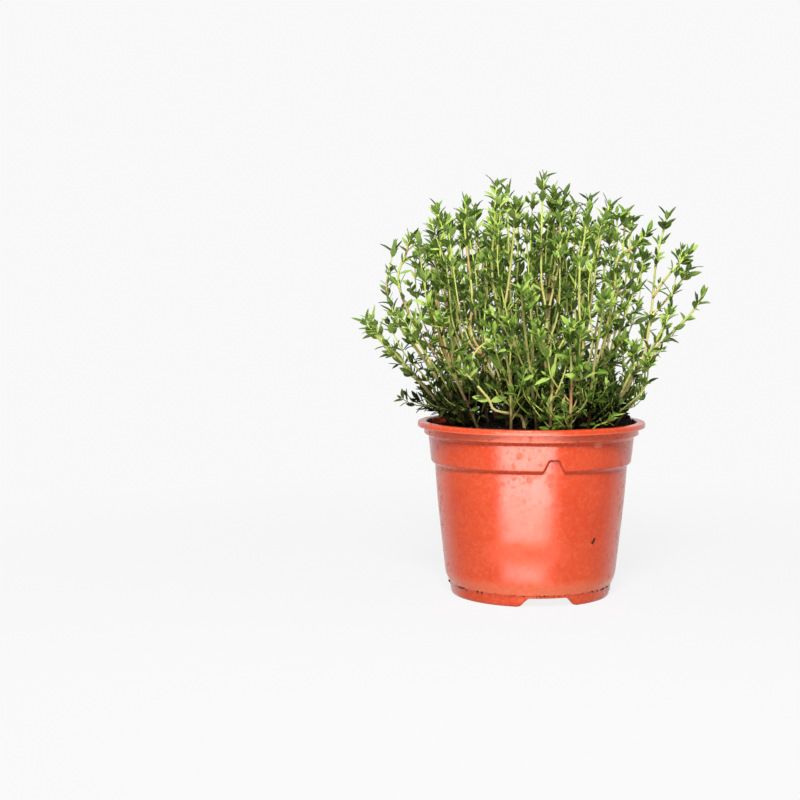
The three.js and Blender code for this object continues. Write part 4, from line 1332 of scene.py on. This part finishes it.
def add_foot_pairs(node, shoot):
    """Small leaves low on a stem of the front"""
    dice = random.Random(FOOT_SEED + node.number)
    for distance in FOOT_PAIRS:
        place = shoot.frame_at(distance + dice.uniform(-2.0, 2.0))[0]
        ways = [(side, dice.uniform(-0.7, 0.3), dice.uniform(-0.2, 1.0)) for side in (-1.0, 1.0)]
        length = dice.uniform(*FOOT_LEAF)
        tint = dice.uniform(*FOOT_TINT)
        is_free = distance < FREE_FOOT_PAIR_BELOW or not inside_open_box(place)
        if dice.random() < FOOT_PAIR_CHANCE and is_free:
            node.add_front_pair(place, ways, length, tint, FOOT_LEAF_WIDTH, FOOT_LIT)


def grow_stem(path, forks, number):
    """A leafy stem with its forks"""
    node = StemNode(number)
    foot_x, foot_y = path[0]
    points = [(foot_x, foot_y, float(soil_height(foot_x, foot_y)))] + path[1:]
    thin = SPRIG_STEM if number == SPRIG else 1.0
    main = Shoot(points, [radius * thin for radius in STEM_RADII], STEM_CORNERS, step=FRAME_STEP)
    shoots = [(main, FIRST_PAIR, 0.0)]
    for at, fork_path in forks:
        root = catmull_rom(main.points, np.array([at / (len(points) - 1)]))[0]
        fork = Shoot([root] + fork_path, FORK_RADII, FORK_CORNERS, step=FRAME_STEP)
        shoots.append((fork, FORK_FIRST_PAIR, FORK_AGE))
    for i, (shoot, first_pair, age) in enumerate(shoots):
        turns_at = main_leaves(node, shoot, seeded_random(SHOOT_SEED + 10 * number + i), first_pair)
        node.tubes.append((shoot, age))
        add_tip_cluster(node, shoot)
        dress_shoot(node, shoot, turns_at)
        if shoot is main:
            add_low_growth(node, main)
    if number == PALE_STEM:
        node.add_front_pair(main.frame_at(PALE_PAIR)[0], PALE_WAYS, PALE_LEAF, PALE_TINT, PALE_WIDTH, 1.0)
    first_turn = node.dice.uniform(0, 2 * math.pi)
    for turn in around(companions_of(path, number)):
        add_companion(node, main, first_turn + turn + node.dice.uniform(-0.5, 0.5))
    if foot_y < FOOT_PAIRS_FROM and number not in ONE_AGE:
        add_foot_pairs(node, main)
    return node


# Meshes of stems and leaves


def tube_rings(shoot, distances):
    """Rings of a slightly square and uneven section, swollen at the pairs of leaves"""
    turns = around(shoot.corners)
    square = 1 + TUBE_SQUARENESS * np.cos(4 * (turns - math.pi / 4))
    (slow_size, slow), (fast_size, fast) = SLOW_WAVE, FAST_WAVE
    rings = []
    for distance in distances:
        place, along, side = shoot.frame_at(distance)
        waves = slow_size * math.sin(distance * slow + shoot.length) + fast_size * math.sin(distance * fast)
        swelling = 1 + waves
        for knuckle in shoot.knuckles:
            swelling += KNUCKLE_SWELLING * max(0.0, 1 - abs(distance - knuckle) / KNUCKLE_REACH)
        radius = lerp(*shoot.radii, distance / shoot.length) * swelling
        out = side * np.cos(turns)[:, None] + np.cross(along, side) * np.sin(turns)[:, None]
        rings.append(place + out * (radius * square)[:, None])
    return rings


def add_tube(parts, shoot, age_start, blush, one_age):
    """A closed tube; the main one starts in the soil"""
    distances = list(shoot.distances)
    for knuckle in shoot.knuckles:
        distances.extend((knuckle - KNUCKLE_REACH, knuckle, knuckle + KNUCKLE_REACH))
    distances = np.unique(np.clip(distances, 0, shoot.length))
    rings = tube_rings(shoot, distances)
    ages = lerp(age_start, max(age_start, 1.0), distances / shoot.length)
    if age_start == 0.0:
        rings.insert(0, rings[0] - (0, 0, BURIED_DEPTH))
        ages = np.concatenate([[0.0], ages])
    corners = np.concatenate(rings)
    shade = shade_at(corners)
    if one_age:
        ages = np.full(len(ages), one_age)
        shade = 1.0
    amount = shoot.corners
    low_end = range(amount)[::-1]
    high_end = range(len(corners) - amount, len(corners))
    faces = [low_end, *ring_faces(len(rings), amount), high_end]
    parts.add(corners, faces, age=np.repeat(ages, amount), blush=blush, shade=shade)


class BladeGrid:
    """The corners of a blade as shares of its length and half width, and its faces"""

    def __init__(self, stations, columns):
        upper_corners = [(share, width, across) for share, width in stations for across in columns]
        lower_corners = [(share, width, 0.0) for share, width in stations]
        corners = [(0.0, 0.0, 0.0), *upper_corners, *lower_corners, (1.0, 0.0, 0.0)]
        self.share, self.width, self.across = np.array(corners).T
        lower_start = 1 + len(upper_corners)
        tip = len(corners) - 1
        self.is_lower = np.zeros(len(corners))
        self.is_lower[lower_start:tip] = 1.0
        self.is_rim = (np.abs(self.across) == 1.0).astype(float)
        self.is_rim[[0, tip]] = 1.0
        upper = [range(start, start + len(columns)) for start in range(1, lower_start, len(columns))]
        lower = [[row[-1], lower_start + i, row[0]] for i, row in enumerate(upper)]
        self.faces = []
        for rows in (upper, lower):
            self.faces += [(0, *pair) for pair in zip(rows[0], rows[0][1:])]
            for row, after in zip(rows, rows[1:]):
                self.faces += [(row[i], after[i], after[i + 1], row[i + 1]) for i in range(len(row) - 1)]
            self.faces += [(first, tip, second) for first, second in zip(rows[-1], rows[-1][1:])]


FINE_GRID = BladeGrid(LEAF_STATIONS, LEAF_COLUMNS)
SMALL_GRID = BladeGrid(SMALL_STATIONS, SMALL_COLUMNS)


def add_leaf_mesh(parts, leaf, dice):
    """One blade: folded along its sunken midrib, rolled under at the margins and bent back at the tip"""
    place, direction, face, length, tint, width, shade = leaf
    grid = FINE_GRID if length > FINE_LEAF_LENGTH else SMALL_GRID
    spread = grid.width * length * LEAF_WIDTH_SHARE / 2 * width * dice.uniform(*LEAF_WIDTHS)
    fold = LEAF_FOLD * dice.uniform(*LEAF_FOLDS)
    bend = dice.uniform(*LEAF_BENDS)
    lift = dice.uniform(*LEAF_LIFTS)
    sway = dice.uniform(*LEAF_SWAYS)
    edge = np.abs(grid.across)
    rise = length * (lift * grid.share - bend * grid.share**2 * 0.6)
    cup = spread * (fold * edge - LEAF_ROLL * np.maximum(edge - ROLL_START, 0))
    height = rise + cup - LEAF_THICKNESS * grid.is_lower
    ahead = length * (grid.share - 0.06 * bend * grid.share**3)
    sideways = spread * grid.across + length * sway * grid.share**2
    across = np.cross(direction, face)
    corners = place + np.outer(ahead, direction) + np.outer(sideways, across) + np.outer(height, face)
    tone = np.clip(tint + 0.12 * (grid.share - 0.5), 0, 1)
    under = np.maximum(grid.is_lower, UNDER_AT_RIM * grid.is_rim)
    parts.add(corners, grid.faces, tint=tone, across=grid.across, under=under, rim=grid.is_rim, shade=shade)


def build_stem(node, bark, blade):
    name = f"thyme_stem_{node.number:02d}"
    tubes = MeshParts(["age", "blush", "shade"])
    blush = node.dice.uniform(0.0, 1.0)
    for shoot, age_start in node.tubes:
        add_tube(tubes, shoot, age_start, blush, ONE_AGE.get(node.number))
    tubes.build(name + "_wood", bark, [name])
    leaves = MeshParts(["tint", "across", "under", "rim", "shade"])
    for leaf in node.leaves:
        add_leaf_mesh(leaves, leaf, node.dice)
    leaves.build(name + "_leaves", blade, [name], sharp="rim")


# Stage, light and camera


def floor_material():
    """A pale floor that takes only a soft shadow, and turns into the background further out"""
    tree = Material("pale_floor")
    distance = tree.vector("LENGTH", tree.place)["Value"]
    shade = tree.mix(tree.ramp(distance, *FLOOR_FADE), (FLOOR_SHADE,) * 3 + (1,), (0, 0, 0, 1))
    tree.link(shade, tree.shader["Base Color"])
    tree.shader["Roughness"].default_value = 1.0
    tree.shader["Specular IOR Level"].default_value = 0.0
    tree.shader["Emission Color"].default_value = (1, 1, 1, 1)
    tree.link(tree.ramp(distance, *FLOOR_FADE, FLOOR_GLOW, BACKGROUND), tree.shader["Emission Strength"])
    return tree.material


def add_sheet(name, corners, material):
    """A flat four-cornered sheet of the stage"""
    mesh = bpy.data.meshes.new(name)
    mesh.from_pydata([[side * MM for side in corner] for corner in corners], [], [(0, 1, 2, 3)])
    mesh.materials.append(material)
    sheet = add_object(name, mesh)
    return sheet


def make_floor():
    reach = FLOOR_REACH
    corners = [(-reach, -reach, 0), (reach, -reach, 0), (reach, reach, 0), (-reach, reach, 0)]
    floor = add_sheet("floor", corners, floor_material())
    floor.visible_glossy = False
    floor.visible_diffuse = False


def make_cards():
    """Low white cards in front, which only show as the broad soft highlights on the pot"""
    material = bpy.data.materials.new("white_card")
    shader = Nodes(material).nodes["Principled BSDF"].inputs
    shader["Base Color"].default_value = (0, 0, 0, 1)
    shader["Emission Color"].default_value = (1, 1, 1, 1)
    shader["Emission Strength"].default_value = CARD_GLOW
    material.cycles.emission_sampling = "NONE"
    for i, ((left, right), (bottom, top)) in enumerate(CARDS):
        corners = [(left, CARD_Y, bottom), (right, CARD_Y, bottom), (right, CARD_Y, top), (left, CARD_Y, top)]
        card = add_sheet(f"card_{i + 1}", corners, material)
        card.visible_camera = False
        card.visible_diffuse = False
        card.visible_shadow = False
        card.visible_transmission = False


def make_world():
    """A plain background for the camera, and soft light that comes mostly from above and in front"""
    world = bpy.data.worlds.new("studio")
    bpy.context.scene.world = world
    tree = Nodes(world)
    direction = tree.add("TexCoord", {})["Generated"]
    rays = tree.add("LightPath", {})

    def facing(way, low, high, out_low, out_high):
        """A strength that changes with how far a direction faces a given way"""
        return tree.ramp(tree.vector("DOT_PRODUCT", direction, way)["Value"], low, high, out_low, out_high)

    soft = tree.plus(facing(*WALLS), facing(*BOUNCE))
    strength = tree.mix(rays["Is Glossy Ray"], soft, facing(*SHEEN), "FLOAT")
    strength = tree.mix(rays["Is Camera Ray"], strength, BACKGROUND, "FLOAT")
    background = tree.nodes["Background"].inputs
    background["Color"].default_value = (1, 1, 1, 1)
    tree.link(strength, background["Strength"])


def aim(thing, place, target):
    """Puts a camera or a lamp at a place and turns it to a target"""
    thing.location = place
    thing.rotation_euler = (Vector(target) - Vector(place)).to_track_quat("-Z", "Y").to_euler()


def make_lamp():
    light = bpy.data.lights.new("key", "AREA")
    light.size = KEY_SIDE
    light.energy = KEY_POWER
    aim(add_object("key", light), KEY_PLACE, KEY_TARGET)


def make_camera():
    data = bpy.data.cameras.new("camera")
    data.lens = CAMERA_LENS
    data.sensor_width = SENSOR_WIDTH
    data.clip_start, data.clip_end = CAMERA_CLIP
    camera = add_object("camera", data)
    aim(camera, Vector(CAMERA_PLACE) * MM, Vector(CAMERA_TARGET) * MM)
    bpy.context.scene.camera = camera


def main():
    make_camera()
    make_world()
    make_floor()
    make_cards()
    make_lamp()
    peat = soil_material()
    make_pot(pot_material())
    make_soil(peat)
    make_crumbs(peat)
    bark = stem_material()
    blade = leaf_material()
    for i, (path, forks) in enumerate(FRONT_STEMS + back_paths()):
        build_stem(grow_stem(path, forks, i + 1), bark, blade)
    bpy.context.scene.view_settings.view_transform = "Standard"
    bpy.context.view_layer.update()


main()
